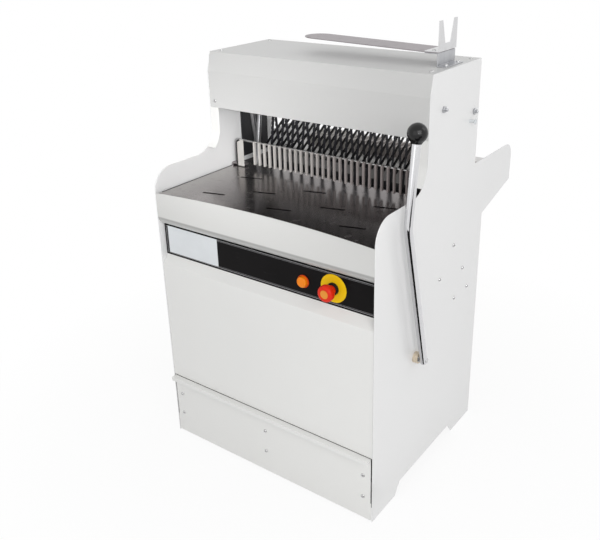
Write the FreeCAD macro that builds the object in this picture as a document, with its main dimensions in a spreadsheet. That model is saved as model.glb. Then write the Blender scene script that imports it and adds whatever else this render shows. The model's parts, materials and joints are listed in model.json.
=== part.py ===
import FreeCAD, Part
import math
import os
import Sketcher

# Floor-standing bread slicer. All sizes in millimetres and degrees.
# Machine axes: X across the cabinet with 0 in its middle, Y to the rear with 0 at the
# front edge of the side panels, Z up from the floor. Every sub-part is then shifted so
# that the origin lies under the middle of the whole machine.

SIZES = {
    # cabinet; a name in OverTable is a height above the top of the table, and a name in
    # PastBase is a depth behind the rear of the lower cabinet
    "TableZ": 734.0,
    "CabinetWidth": 660.0,
    "SheetWall": 2.0,
    "FootDepth": 112.0,
    "FootSlope": 24.0,
    "FootRise": 32.0,
    "RearFootDepth": 117.0,
    "BaseDepth": 552.0,
    "BaseTopOverTable": -96.0,
    "WingRearPastBase": 179.0,
    "WingLowOverTable": -48.0,
    "WingTopOverTable": 60.0,
    "WingFrontRadius": 58.0,
    "WingRearRadius": 38.0,
    "ColumnFrontY": 224.0,
    "ColumnRootRadius": 65.0,
    "HoodKneeOverTable": 276.0,
    "HoodTopFrontY": 236.0,
    "HoodRearY": 486.0,
    "HoodTopOverTable": 326.0,
    "HoodLowOverTable": 180.0,
    "FlangeWidth": 28.0,
    "FlangeArcAngle": 50.0,
    # front
    "TableSideGap": 10.0,
    "TableRearY": 336.0,
    "TableFrontSag": 24.0,
    "TrayFrontY": 398.0,
    "BeamWidth": 18.0,
    "BeamHeight": 20.0,
    "SlotLength": 62.0,
    "SlotWidth": 8.0,
    "SlotSlant": 15.0,
    "SlotPitchX": 210.0,
    "SlotFirstX": 198.0,
    "SlotMiddleX": 93.0,
    "SlotFirstY": 78.0,
    "SlotPitchY": 74.0,
    "ApronLowOverTable": -85.0,
    "HemRadius": 24.0,
    "HemTurn": 65.0,
    "FasciaY": 20.0,
    "FasciaLowOverTable": -179.0,
    "FasciaTopOverTable": -44.0,
    "PanelY": 2.0,
    "PanelTopOverTable": -199.0,
    "PanelLowZ": 190.0,
    "StripLowOverTable": -175.0,
    "StripTopOverTable": -89.0,
    "StripThickness": 1.0,
    "LabelInset": 12.0,
    "LabelLength": 173.0,
    "LabelLowOverTable": -168.0,
    "LabelTopOverTable": -93.0,
    "LabelThickness": 0.6,
    # buttons
    "LampX": 125.0,
    "LampOverTable": -136.0,
    "LampDiameter": 27.0,
    "LampProud": 10.0,
    "BezelDiameter": 32.0,
    "BezelThickness": 3.0,
    "EstopX": 210.0,
    "EstopOverTable": -131.0,
    "EstopPlateDiameter": 70.0,
    "EstopPlateThickness": 1.5,
    "CollarDiameter": 30.0,
    "CollarThickness": 7.0,
    "MushroomDiameter": 40.0,
    "MushroomThickness": 18.0,
    "MushroomProud": 39.0,
    "StemDiameter": 22.0,
    "StemLength": 60.0,
    "SwitchBodyWidth": 46.0,
    "SwitchBodyDepth": 42.0,
    "ButtonClearance": 0.5,
    # crumb drawer
    "DrawerClearance": 1.5,
    "DrawerLowZ": 4.0,
    "DrawerTopZ": 187.0,
    "ReliefClearance": 3.5,
    "ReliefLowZ": 56.0,
    "LipReach": 15.0,
    "LipDrop": 11.0,
    "ScrewRowLowZ": 69.0,
    "ScrewRowHighZ": 133.0,
    "ScrewInset": 27.0,
    "ScrewHeadDiameter": 8.0,
    "ScrewHeadHeight": 2.4,
    "TrayInnerInset": 28.0,
    "DrawerDepth": 470.0,
    "DrawerTrayLowZ": 46.0,
    "DrawerTrayTopZ": 118.0,
    "DrawerFlange": 16.0,
    "RunnerClearance": 0.5,
    "BaseTubeSize": 30.0,
    "BaseTubeWall": 2.5,
    "BaseTubeZ": 8.0,
    "FrontTubeY": 34.0,
    "RearTubePastBase": -47.0,
    "BackCoverLowZ": 44.0,
    # lever and its shaft
    "LeverPlane": 353.0,
    "LeverDiameter": 20.0,
    "PivotY": 196.0,
    "PivotOverTable": -361.0,
    "LeverTail": 12.0,
    "LeverBendY": 97.0,
    "LeverBendOverTable": 20.0,
    "LeverBendRadius": 90.0,
    "KnobY": 125.5,
    "KnobOverTable": 224.5,
    "KnobDiameter": 45.0,
    "ShaftDiameter": 20.0,
    "SpigotDiameter": 12.0,
    "BushDiameter": 28.0,
    "BushProud": 12.0,
    "RunningClearance": 0.05,
    "ArmPlane": 301.0,
    "ArmThickness": 8.0,
    "ArmWidth": 34.0,
    "ArmHubDiameter": 44.0,
    "ArmReach": 350.0,
    "PinDiameter": 12.0,
    "PinPlay": 2.2,
    # carriage
    "Travel": 220.0,
    "BarInnerX": 311.0,
    "BarThickness": 10.0,
    "BarLowOverTable": -54.0,
    "BarHeight": 20.0,
    "BarFrontY": 276.0,
    "BarRearPastBase": 128.0,
    "GuideRodX": 317.0,
    "GuideRodOverTable": -70.0,
    "GuideRodDiameter": 12.0,
    "GuideRodRearPastBase": 45.0,
    "BracketThickness": 10.0,
    "BracketFrontY": 36.0,
    "BracketHalf": 10.0,
    "BracketHeight": 16.0,
    "SlideBushLength": 40.0,
    "SlideBushFrontY": 286.0,
    "SlideBushRearPastBase": -7.0,
    "StrapThickness": 4.0,
    "StrapWidth": 18.0,
    "TableClearance": 4.0,
    # combs
    "FingerCount": 28,
    "FingerPitch": 17.8,
    "FingerWidth": 5.0,
    "CombFrontY": 290.0,
    "FingerDepth": 8.0,
    "CombLowOverTable": 13.0,
    "CombTopOverTable": 79.0,
    "FingerTopRadius": 4.0,
    "CombRodDiameter": 6.0,
    "CombRodOverTable": 75.0,
    "LegLowOverTable": 2.0,
    "LegWidth": 26.0,
    "LegThickness": 2.0,
    "LegInnerX": 278.0,
    "LegCornerRadius": 14.0,
    "PusherFrontPastBase": 3.0,
    "PusherRearPastBase": 98.0,
    "PusherTopOverTable": 40.0,
    "PusherBarPastBase": 84.0,
    "PusherBarDepth": 26.0,
    # hold-down
    "HoldRodY": 470.0,
    "HoldRodOverTable": 141.0,
    "HoldRodDiameter": 12.0,
    "HoldTipY": 332.0,
    "HoldTipOverTable": 51.0,
    "HoldStripWidth": 7.0,
    "HoldStripThickness": 3.0,
    "HoldBracketSize": 24.0,
    "HoldBracketThickness": 12.0,
    # blade frames
    "FrameTilt": 8.0,
    "CrossY": 365.0,
    "CrossOverTable": 96.0,
    "BladeCount": 27,
    "BladeDepth": 12.0,
    "BladeThickness": 0.6,
    "BladeLow": 170.0,
    "BladeHigh": 120.0,
    "FrameBarHeight": 18.0,
    "FrameBarDepth": 12.0,
    "ColumnDiameter": 14.0,
    "FrameCollarDiameter": 18.0,
    "ColumnPlaneA": 281.0,
    "ColumnPlaneB": 297.0,
    "ColumnLow": 254.0,
    "ColumnHigh": 202.0,
    "GuideBeamLow": 212.0,
    "GuideBeamHigh": 160.0,
    "GuideBeamHeight": 20.0,
    "GuideBeamDepth": 28.0,
    "GuideBushDiameter": 22.0,
    "GuideBushLength": 26.0,
    "EndPlateThickness": 4.0,
    "UpperPlateFrontY": 278.0,
    "UpperPlateRearY": 470.0,
    "UpperPlateLowOverTable": 190.0,
    "UpperPlateTopOverTable": 281.0,
    "LowerPlateFrontY": 300.0,
    "LowerPlateRearY": 495.0,
    "LowerPlateLowOverTable": -304.0,
    "LowerPlateTopOverTable": -104.0,
    "GuardFrontY": 342.0,
    "GuardRearY": 456.0,
    "GuardLowOverTable": 12.0,
    # rocker between the frames
    "RockerArm": 70.0,
    "RockerEnd": 16.0,
    "RockerSideGap": 2.0,
    "RockerHeight": 26.0,
    "RockerThickness": 8.0,
    "RockerPinDiameter": 10.0,
    "RockerPinLength": 27.0,
    "RockerPivotDiameter": 12.0,
    "RockerSlotPlay": 3.6,
    "RockerPinPlay": 0.8,
    "SaddleWidth": 40.0,
    # crank
    "CrankRadius": 20.0,
    "RodPlane": 249.0,
    "RodThickness": 12.0,
    "RodWidth": 18.0,
    "RodOffset": 25.0,
    "RodEyeDiameter": 40.0,
    "RodEyeDown": 306.0,
    "CrankPinDiameter": 16.0,
    "CrankPinGap": 1.0,
    "CrankPinLength": 4.0,
    "CrankDiscDiameter": 70.0,
    "CrankDiscThickness": 12.0,
    "CrankShaftDiameter": 25.0,
    "BearingPlane": 192.0,
    "BearingLength": 24.0,
    "BearingDiameter": 52.0,
    "BedLowOverTable": -294.0,
    "BedThickness": 12.0,
    "BedFrontY": 330.0,
    "BedRearY": 492.0,
    # drive
    "BeltPlane": -50.0,
    "BeltWidth": 10.0,
    "BeltThickness": 7.0,
    "BeltPlay": 0.5,
    "PulleyWidth": 20.0,
    "PulleyFlangeDepth": 9.0,
    "DrivenPulleyDiameter": 118.0,
    "MotorPulleyDiameter": 64.0,
    "MotorPastBase": -109.0,
    "MotorOverTable": -372.0,
    "MotorDiameter": 138.0,
    "MotorLength": 200.0,
    "MotorFrontX": 10.0,
    "MotorShaftDiameter": 19.0,
    "MotorFootWidth": 110.0,
    "MotorFootInset": 10.0,
    "MotorShaftDepth": 50.0,
    "TerminalBoxSize": 70.0,
    "TerminalBoxProud": 10.0,
    "BedWindowGap": 6.0,
    # bag spoon on the hood
    "SpoonPlateX": 296.0,
    "SpoonPlateThickness": 2.0,
    "SpoonFrontY": 318.0,
    "SpoonBracketDepth": 89.0,
    "SpoonBracketZ": 31.0,
    "SpoonFootWidth": 22.0,
    "SpoonShelfWidth": 34.0,
    "SpoonLength": 358.0,
    "SpoonWidth": 84.0,
    "SpoonRise": 1.6,
    "SpoonBoltInset": 13.0,
    "SpoonBoltPitch": 38.0,
    "FootBoltInset": 21.0,
    "FootBoltPitch": 62.0,
    "ForkHeight": 69.0,
    "ForkNotchDepth": 52.0,
    "ForkNotchLow": 27.0,
    "ForkNotchHigh": 58.0,
    "ForkProngWidth": 16.0,
    # screws and bolts
    "HoodScrewInset": 18.0,
    "HoodScrewFrontY": 263.0,
    "HoodScrewRearY": 467.0,
    "HoodScrewLowOverTable": 198.0,
    "BoltHeadDiameter": 13.0,
    "SmallHeadDiameter": 8.0,
    "BoltHeadHeight": 3.0,
    "HookLength": 16.0,
}

document = FreeCAD.newDocument("BreadSlicer")
sheet = document.addObject("Spreadsheet::Sheet", "Dims")


class Size:
    """A number together with the expression that gives it from the sheet."""

    def __init__(self, text, number):
        self.text = text
        self.number = number

    def __add__(self, other):
        other = asSize(other)
        return Size("(%s + %s)" % (self.text, other.text), self.number + other.number)

    def __sub__(self, other):
        other = asSize(other)
        return Size("(%s - %s)" % (self.text, other.text), self.number - other.number)

    def __mul__(self, other):
        other = asSize(other)
        return Size("(%s * %s)" % (self.text, other.text), self.number * other.number)

    def __truediv__(self, other):
        other = asSize(other)
        return Size("(%s / %s)" % (self.text, other.text), self.number / other.number)

    def __neg__(self):
        return Size("(0 - %s)" % self.text, -self.number)

    def __radd__(self, other):
        return asSize(other) + self

    def __rsub__(self, other):
        return asSize(other) - self

    def __rmul__(self, other):
        return asSize(other) * self


def asSize(thing):
    return thing if isinstance(thing, Size) else Size("%.9g" % thing, thing)


def sine(angle):
    return Size("sin(%s)" % angle.text, math.sin(math.radians(angle.number)))


def cosine(angle):
    return Size("cos(%s)" % angle.text, math.cos(math.radians(angle.number)))


def slopeAngle(rise, run):
    """Angle in degrees whose tangent is rise over run."""
    degrees = math.degrees(math.atan(rise.number / run.number))
    return Size("(atan(%s / %s) / 1 deg)" % (rise.text, run.text), degrees)


def root(area):
    return Size("sqrt(%s)" % area.text, math.sqrt(area.number))


class Sizes:
    """The cells of the sheet, one attribute for each alias."""

    def __init__(self, table):
        for row, (name, number) in enumerate(table.items(), start=1):
            sheet.set("A%d" % row, name)
            sheet.set("B%d" % row, "%.9g" % number)
            sheet.setAlias("B%d" % row, name)
            setattr(self, name, Size("Dims." + name, number))
        for name in table:
            for ending, base, axis in (("OverTable", self.TableZ, "Z"),
                                       ("PastBase", self.BaseDepth, "Y")):
                if name.endswith(ending):
                    setattr(self, name[:-len(ending)] + axis, base + getattr(self, name))


size = Sizes(SIZES)
zero = asSize(0)
document.recompute()

halfWidth = size.CabinetWidth / 2
innerHalf = halfWidth - size.SheetWall
LEFT, RIGHT = -1, 1
SIDES = {LEFT: "Left", RIGHT: "Right"}

middleX = (size.LeverPlane + size.KnobDiameter / 2 - halfWidth - size.BoltHeadHeight) / 2
stripFaceY = size.FasciaY - size.StripThickness
middleY = (size.WingRearY + stripFaceY - size.MushroomProud) / 2


# ---------------------------------------------------------------- shape helpers

def bind(thing, prop, amount):
    thing.setExpression(prop, asSize(amount).text)


def moveTo(thing, x, y, z):
    for axis, amount in zip("xyz", (x, y, z)):
        bind(thing, "Placement.Base." + axis, amount)


def mirrored(span, side):
    """A span (low, high) on the given side of the middle plane."""
    low, high = span
    return (low, high) if side == RIGHT else (-high, -low)


def around(middle, width):
    return (middle - width / 2, middle + width / 2)


def through(middle):
    """A span long enough to cut right through any piece."""
    return around(middle, size.CabinetWidth * 2)


def box(name, x, y, z):
    thing = document.addObject("Part::Box", name)
    moveTo(thing, x[0], y[0], z[0])
    for prop, span in (("Length", x), ("Width", y), ("Height", z)):
        bind(thing, prop, asSize(span[1]) - span[0])
    return thing


def rod(name, axis, span, centre, diameter):
    """A round bar along one axis; centre gives the other two coordinates in order."""
    thing = document.addObject("Part::Cylinder", name)
    turns = {"X": ((0, 1, 0), 90), "Y": ((1, 0, 0), -90), "Z": ((0, 0, 1), 0)}
    direction, angle = turns[axis]
    thing.Placement.Rotation = FreeCAD.Rotation(FreeCAD.Vector(*direction), angle)
    first, second = centre
    low, high = span
    spots = {"X": (low, first, second), "Y": (first, low, second), "Z": (first, second, low)}
    moveTo(thing, *spots[axis])
    bind(thing, "Radius", asSize(diameter) / 2)
    bind(thing, "Height", asSize(high) - low)
    return thing


def fused(name, pieces):
    thing = document.addObject("Part::MultiFuse", name)
    thing.Shapes = pieces
    return thing


def cutOut(name, base, tools):
    thing = document.addObject("Part::Cut", name)
    thing.Base = base
    thing.Tool = tools[0] if len(tools) == 1 else fused(name + "Tools", tools)
    return thing


subParts = []


TURN_AXES = {"X": (1, 0, 0), "Y": (0, 1, 0), "Z": (0, 0, 1)}


def turned(name, pieces, axis, angle, spot):
    """Pieces made about their own zero, turned about an axis and moved to a spot."""
    thing = document.addObject("Part::Compound", name)
    thing.Links = pieces
    thing.Placement.Rotation = FreeCAD.Rotation(FreeCAD.Vector(*TURN_AXES[axis]), 1)
    bind(thing, "Placement.Rotation.Angle", angle)
    moveTo(thing, *spot)
    return thing


def subPart(label, pieces):
    """A finished sub-part made of closed pieces."""
    thing = document.addObject("Part::Compound", "Node_" + label)
    thing.Label = label
    thing.Links = pieces
    moveTo(thing, -middleX, -middleY, 0)
    subParts.append(thing)
    return thing


def freeShape(name, shape):
    thing = document.addObject("Part::Feature", name)
    thing.Shape = shape
    return thing


def originFeature(body, role):
    return next(f for f in body.Origin.OriginFeatures if f.Role == role)


def polygonSketch(body, name, plane, outline):
    """A closed outline whose corners are all placed from the sheet."""
    sketch = body.newObject("Sketcher::SketchObject", name)
    sketch.AttachmentSupport = [(originFeature(body, plane), "")]
    sketch.MapMode = "FlatFace"
    corners = [(asSize(a), asSize(b)) for a, b in outline]
    points = [FreeCAD.Vector(a.number, b.number, 0) for a, b in corners]
    count = len(points)
    for index in range(count):
        sketch.addGeometry(Part.LineSegment(points[index], points[(index + 1) % count]))
    for index in range(count):
        following = (index + 1) % count
        sketch.addConstraint(Sketcher.Constraint("Coincident", index, 2, following, 1))
    for index, (across, upward) in enumerate(corners):
        for kind, amount in (("DistanceX", across), ("DistanceY", upward)):
            rule = Sketcher.Constraint(kind, -1, 1, index, 1, amount.number)
            number = sketch.addConstraint(rule)
            sketch.setExpression("Constraints[%d]" % number, amount.text)
    return sketch


INPLANE = {"YZ_Plane": ("y", "z"), "XY_Plane": ("x", "y"), "XZ_Plane": ("x", "z")}


def edgeAt(feature, plane, corner):
    """Name of the straight edge that stands on the sketch plane at a corner."""
    first, second = INPLANE[plane]
    spot = (asSize(corner[0]).number, asSize(corner[1]).number)
    for number, edge in enumerate(feature.Shape.Edges, start=1):
        ends = [(getattr(v.Point, first), getattr(v.Point, second)) for v in edge.Vertexes]
        if len(ends) == 2 and all(math.dist(end, spot) < 1e-4 for end in ends):
            return "Edge%d" % number
    raise ValueError("no edge at %s" % (spot,))


def outlineBody(label, plane, outline, depth, near, rounds=(), row=None, inset=(0, 0, 0)):
    """A flat piece cut to an outline; near is its lower face along the plane's normal.

    rounds lists (corner number, radius). row is (count, pitch) for equal copies along X.
    """
    body = document.addObject("PartDesign::Body", label + "Body")
    if hasattr(body, "AllowCompound"):
        body.AllowCompound = True
    pad = body.newObject("PartDesign::Pad", label + "Pad")
    pad.Profile = polygonSketch(body, label + "Sketch", plane, outline)
    bind(pad, "Length", depth)
    body.Tip = pad
    document.recompute()
    for corner, radius in rounds:
        base = body.Tip
        fillet = body.newObject("PartDesign::Fillet", "%sRound%d" % (label, corner))
        fillet.Base = (base, [edgeAt(base, plane, outline[corner])])
        bind(fillet, "Radius", radius)
        body.Tip = fillet
        document.recompute()
    if row is not None:
        count, pitch = row
        pattern = body.newObject("PartDesign::LinearPattern", label + "Row")
        pattern.TransformMode = "Whole shape"
        pattern.Direction = (originFeature(body, "X_Axis"), [""])
        bind(pattern, "Occurrences", count)
        bind(pattern, "Length", (count - 1) * pitch)
        body.Tip = pattern
        document.recompute()
    x, y, z = (asSize(amount) for amount in inset)
    if plane == "YZ_Plane":
        x = x + near
    elif plane == "XY_Plane":
        z = z + near
    else:
        y = y + near + depth
    moveTo(body, x, y, z)
    return body


# ---------------------------------------------------------------- cabinet shell

def sidePanel(side):
    outline = [
        (0, 0),
        (size.FootDepth, 0),
        (size.FootDepth + size.FootSlope, size.FootRise),
        (size.BaseDepth - size.RearFootDepth - size.FootSlope, size.FootRise),
        (size.BaseDepth - size.RearFootDepth, 0),
        (size.BaseDepth, 0),
        (size.BaseDepth, size.BaseTopZ),
        (size.WingRearY, size.WingLowZ),
        (size.WingRearY, size.WingTopZ),
        (size.HoodRearY, size.WingTopZ),
        (size.HoodRearY, size.HoodTopZ),
        (size.HoodTopFrontY, size.HoodTopZ),
        (size.ColumnFrontY, size.HoodKneeZ),
        (size.ColumnFrontY, size.WingTopZ),
        (0, size.WingTopZ),
    ]
    rounds = [(8, size.WingRearRadius), (13, size.ColumnRootRadius), (14, size.WingFrontRadius)]
    name = "Panel" + SIDES[side]
    near = mirrored((innerHalf, halfWidth), side)[0]
    panel = outlineBody(name, "YZ_Plane", outline, size.SheetWall, near, rounds)
    if side == RIGHT:
        hole = rod("PanelShaftHole", "X", through(halfWidth), (size.PivotY, size.PivotZ),
                   size.BushDiameter)
        panel = cutOut("PanelRightBored", panel, [hole])
    subPart("side_panel_" + SIDES[side].lower(), [panel])


def columnFlange(side):
    """Inward flange at the front of a hood column, following the round at its foot."""
    name = "Flange" + SIDES[side]
    radius = size.ColumnRootRadius
    arcY = size.ColumnFrontY - radius
    arcZ = size.WingTopZ + radius
    span = mirrored((innerHalf - size.FlangeWidth, innerHalf), side)
    upright = box(name + "Upright", span, (size.ColumnFrontY, size.ColumnFrontY + size.SheetWall),
                  (arcZ, size.HoodLowZ))
    outer = rod(name + "Outer", "X", span, (zero, zero), (radius + size.SheetWall) * 2)
    outer.Placement.Rotation = FreeCAD.Rotation(FreeCAD.Vector(0, 1, 0), 90).multiply(
        FreeCAD.Rotation(FreeCAD.Vector(0, 0, 1), 90))
    bind(outer, "Angle", size.FlangeArcAngle)
    inner = rod(name + "Inner", "X", through(zero), (zero, zero), radius * 2)
    arc = turned(name + "ArcTurned", [cutOut(name + "Arc", outer, [inner])], "X",
                 -size.FlangeArcAngle, (0, arcY, arcZ))
    return fused(name, [upright, arc])


def hood():
    wall = size.SheetWall
    slope = (size.HoodTopFrontY - size.ColumnFrontY) / (size.HoodTopZ - size.HoodKneeZ)
    innerTopY = size.HoodTopFrontY - wall * slope + wall * root(1 + slope * slope)
    outline = [
        (size.ColumnFrontY, size.HoodLowZ),
        (size.ColumnFrontY, size.HoodKneeZ),
        (size.HoodTopFrontY, size.HoodTopZ),
        (size.HoodRearY, size.HoodTopZ),
        (size.HoodRearY, size.HoodLowZ),
        (size.HoodRearY - wall, size.HoodLowZ),
        (size.HoodRearY - wall, size.HoodTopZ - wall),
        (innerTopY, size.HoodTopZ - wall),
        (size.ColumnFrontY + wall, size.HoodKneeZ),
        (size.ColumnFrontY + wall, size.HoodLowZ),
    ]
    shell = outlineBody("Hood", "YZ_Plane", outline, innerHalf * 2, -innerHalf)
    subPart("hood_shell", [shell])


def hoodScrews():
    heads = []
    for side in (LEFT, RIGHT):
        x = side * (innerHalf - size.HoodScrewInset)
        for end, y in (("Front", size.HoodScrewFrontY), ("Rear", size.HoodScrewRearY)):
            span = (size.HoodTopZ, size.HoodTopZ + size.ScrewHeadHeight)
            heads.append(rod("HoodScrew%s%s" % (end, SIDES[side]), "Z", span, (x, y),
                             size.ScrewHeadDiameter))
        span = (size.ColumnFrontY - size.ScrewHeadHeight, size.ColumnFrontY)
        heads.append(rod("HoodScrewLow" + SIDES[side], "Y", span, (x, size.HoodScrewLowZ),
                         size.ScrewHeadDiameter))
    return heads


frontArcRadius = (innerHalf * innerHalf + size.TableFrontSag * size.TableFrontSag) \
    / (size.TableFrontSag * 2)
tableHalf = innerHalf - size.TableSideGap
tableSpanZ = (size.TableZ - size.SheetWall, size.TableZ)


def slot(name, x, y):
    thing = box(name, around(zero, size.SlotLength), around(zero, size.SlotWidth),
                (-size.SheetWall, size.SheetWall * 2))
    return turned(name + "Turned", [thing], "Z", size.SlotSlant, (x, y, tableSpanZ[0]))


def tableBeams():
    beamZ = (tableSpanZ[0] - size.BeamHeight, tableSpanZ[0])
    wide = (-innerHalf, innerHalf)
    front = box("TableBeamFront", wide, (size.TableRearY - size.BeamWidth, size.TableRearY), beamZ)
    rear = box("TableBeamRear", wide, (size.TrayFrontY, size.TrayFrontY + size.BeamWidth), beamZ)
    return [front, rear]


def feedTable():
    plate = box("TablePlate", (-tableHalf, tableHalf), (0, size.TableRearY), tableSpanZ)
    edge = rod("TableFrontArc", "Z", (tableSpanZ[0] - size.SheetWall, size.TableZ + size.SheetWall),
               (zero, size.TableFrontSag - frontArcRadius),
               (frontArcRadius + size.SheetWall) * 2)
    slots = []
    for row, first, count in ((0, size.SlotFirstX, 3), (1, size.SlotMiddleX, 2),
                              (2, size.SlotFirstX, 3)):
        for column in range(count):
            name = "CrumbSlot%d%d" % (row, column)
            x = size.SlotPitchX * column - first
            slots.append(slot(name, x, size.SlotFirstY + size.SlotPitchY * row))
    subPart("feed_table", [cutOut("Table", plate, [edge] + slots)])
    tray = box("RearTrayPlate", (-tableHalf, tableHalf),
               (size.TrayFrontY, size.WingRearY - size.SheetWall), tableSpanZ)
    subPart("rear_tray", [tray])


def arcBand(y, z, sag, depth):
    """Closed band across the cabinet: curved by sag in its middle, straight where sag is 0."""
    half = innerHalf.number
    outlines = []
    for shift in (y, y + depth):
        left = FreeCAD.Vector(-half, shift, z)
        right = FreeCAD.Vector(half, shift, z)
        middle = FreeCAD.Vector(0, shift + sag, z)
        outlines.append((left, middle, right))
    (frontLeft, frontMiddle, frontRight), (backLeft, backMiddle, backRight) = outlines
    return Part.Wire([
        Part.Arc(frontLeft, frontMiddle, frontRight).toShape(),
        Part.LineSegment(frontRight, backRight).toShape(),
        Part.Arc(backRight, backMiddle, backLeft).toShape(),
        Part.LineSegment(backLeft, frontLeft).toShape(),
    ])


def tableApron():
    """Skin between the curved table edge and a straight hem that is rolled inward."""
    nearlyStraight = 0.05
    hemSteps = 5
    wall = size.SheetWall.number
    radius = size.HemRadius.number
    turn = math.radians(size.HemTurn.number)
    hemTopZ = size.ApronLowZ.number + radius * math.sin(turn)
    bands = [arcBand(0.0, size.TableZ.number, size.TableFrontSag.number, wall)]
    for step in range(hemSteps + 1):
        angle = turn * step / hemSteps
        bands.append(arcBand(radius * (1 - math.cos(angle)), hemTopZ - radius * math.sin(angle),
                             nearlyStraight, wall))
    skin = Part.makeLoft(bands, True, True)
    subPart("table_apron", [freeShape("Apron", skin)])


def controlFront():
    wall = size.SheetWall
    wide = (-innerHalf, innerHalf)
    fasciaY = (size.FasciaY, size.FasciaY + wall)
    fascia = box("FasciaPlate", wide, fasciaY, (size.FasciaLowZ, size.FasciaTopZ))
    strip = box("StripPlate", wide, (stripFaceY, size.FasciaY), (size.StripLowZ, size.StripTopZ))
    holes = []
    for name, x, z, diameter in (("Lamp", size.LampX, size.LampZ, size.LampDiameter),
                                 ("Estop", size.EstopX, size.EstopZ, size.StemDiameter)):
        holes.append(rod(name + "Hole", "Y", through(size.FasciaY), (x, z),
                         diameter + size.ButtonClearance * 2))
    subPart("control_fascia", [cutOut("Fascia", fascia, holes)])
    subPart("control_strip", [cutOut("Strip", strip, holes)])
    labelLow = size.LabelInset - innerHalf
    label = box("LabelBlank", (labelLow, labelLow + size.LabelLength),
                (stripFaceY - size.LabelThickness, stripFaceY), (size.LabelLowZ, size.LabelTopZ))
    subPart("label_plate", [label])
    outline = [
        (size.PanelY, size.PanelLowZ),
        (size.PanelY, size.PanelTopZ),
        (size.FasciaY, size.FasciaLowZ),
        (size.FasciaY + wall, size.FasciaLowZ),
        (size.PanelY + wall, size.PanelTopZ),
        (size.PanelY + wall, size.PanelLowZ),
    ]
    panel = outlineBody("FrontPanel", "YZ_Plane", outline, innerHalf * 2, -innerHalf)
    subPart("front_panel", [panel])


def backCover():
    wall = size.SheetWall
    baseY = size.BaseDepth - wall
    wingY = size.WingRearY - wall
    outline = [
        (baseY, size.BackCoverLowZ),
        (baseY, size.BaseTopZ + wall),
        (wingY, size.WingLowZ + wall),
        (wingY, tableSpanZ[0]),
        (wingY - wall, tableSpanZ[0]),
        (wingY - wall, size.WingLowZ + wall * 2),
        (baseY - wall, size.BaseTopZ + wall * 2),
        (baseY - wall, size.BackCoverLowZ),
    ]
    cover = outlineBody("BackCover", "YZ_Plane", outline, innerHalf * 2, -innerHalf)
    subPart("back_cover", [cover])


def baseTubes():
    wide = (-innerHalf, innerHalf)
    tubes = []
    for name, y in (("Front", size.FrontTubeY), ("Rear", size.RearTubeY)):
        z = size.BaseTubeZ
        wall = size.BaseTubeWall
        solid = box("BaseTube" + name, wide, (y, y + size.BaseTubeSize), (z, z + size.BaseTubeSize))
        hollow = box("BaseTubeHollow" + name, wide, (y + wall, y + size.BaseTubeSize - wall),
                     (z + wall, z + size.BaseTubeSize - wall))
        tubes.append(cutOut("BaseTubeCut" + name, solid, [hollow]))
    return tubes


# ---------------------------------------------------------------- buttons

def buttons():
    behind = size.FasciaY + size.SheetWall
    bodyY = (behind, behind + size.SwitchBodyDepth)
    bodies = []
    for name, x, z, diameter in (("Lamp", size.LampX, size.LampZ, size.LampDiameter),
                                 ("Estop", size.EstopX, size.EstopZ, size.StemDiameter)):
        block = box(name + "Switch", around(x, size.SwitchBodyWidth), bodyY,
                    around(z, size.SwitchBodyWidth))
        bore = rod(name + "SwitchBore", "Y", through(behind), (x, z),
                   diameter + size.ButtonClearance * 2)
        bodies.append(cutOut(name + "SwitchBody", block, [bore]))
    subPart("switch_bodies", bodies)

    lamp = (size.LampX, size.LampZ)
    faceY = stripFaceY - size.LampProud
    button = rod("LampButton", "Y", (faceY, faceY + size.LampProud + size.SwitchBodyDepth / 2), lamp,
                 size.LampDiameter)
    subPart("start_button", [button])
    ring = rod("BezelRing", "Y", (stripFaceY - size.BezelThickness, stripFaceY), lamp,
               size.BezelDiameter)
    bore = rod("BezelBore", "Y", through(stripFaceY), lamp,
               size.LampDiameter + size.ButtonClearance * 2)
    subPart("button_bezel", [cutOut("Bezel", ring, [bore])])

    stop = (size.EstopX, size.EstopZ)
    plateY = (stripFaceY - size.EstopPlateThickness, stripFaceY)
    plate = rod("EstopDisc", "Y", plateY, stop, size.EstopPlateDiameter)
    collarY = (plateY[0] - size.CollarThickness, plateY[0])
    collar = rod("EstopCollarRing", "Y", collarY, stop, size.CollarDiameter)
    stemBore = rod("EstopStemBore", "Y", through(stripFaceY), stop,
                   size.StemDiameter + size.ButtonClearance * 2)
    subPart("estop_plate", [cutOut("EstopPlate", plate, [stemBore])])
    subPart("estop_collar", [cutOut("EstopCollar", collar, [stemBore])])
    headY = stripFaceY - size.MushroomProud
    head = rod("MushroomHead", "Y", (headY, headY + size.MushroomThickness), stop,
               size.MushroomDiameter)
    stem = rod("MushroomStem", "Y", (headY, headY + size.StemLength), stop, size.StemDiameter)
    subPart("estop_mushroom", [fused("Mushroom", [head, stem])])


# ---------------------------------------------------------------- crumb drawer

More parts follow.
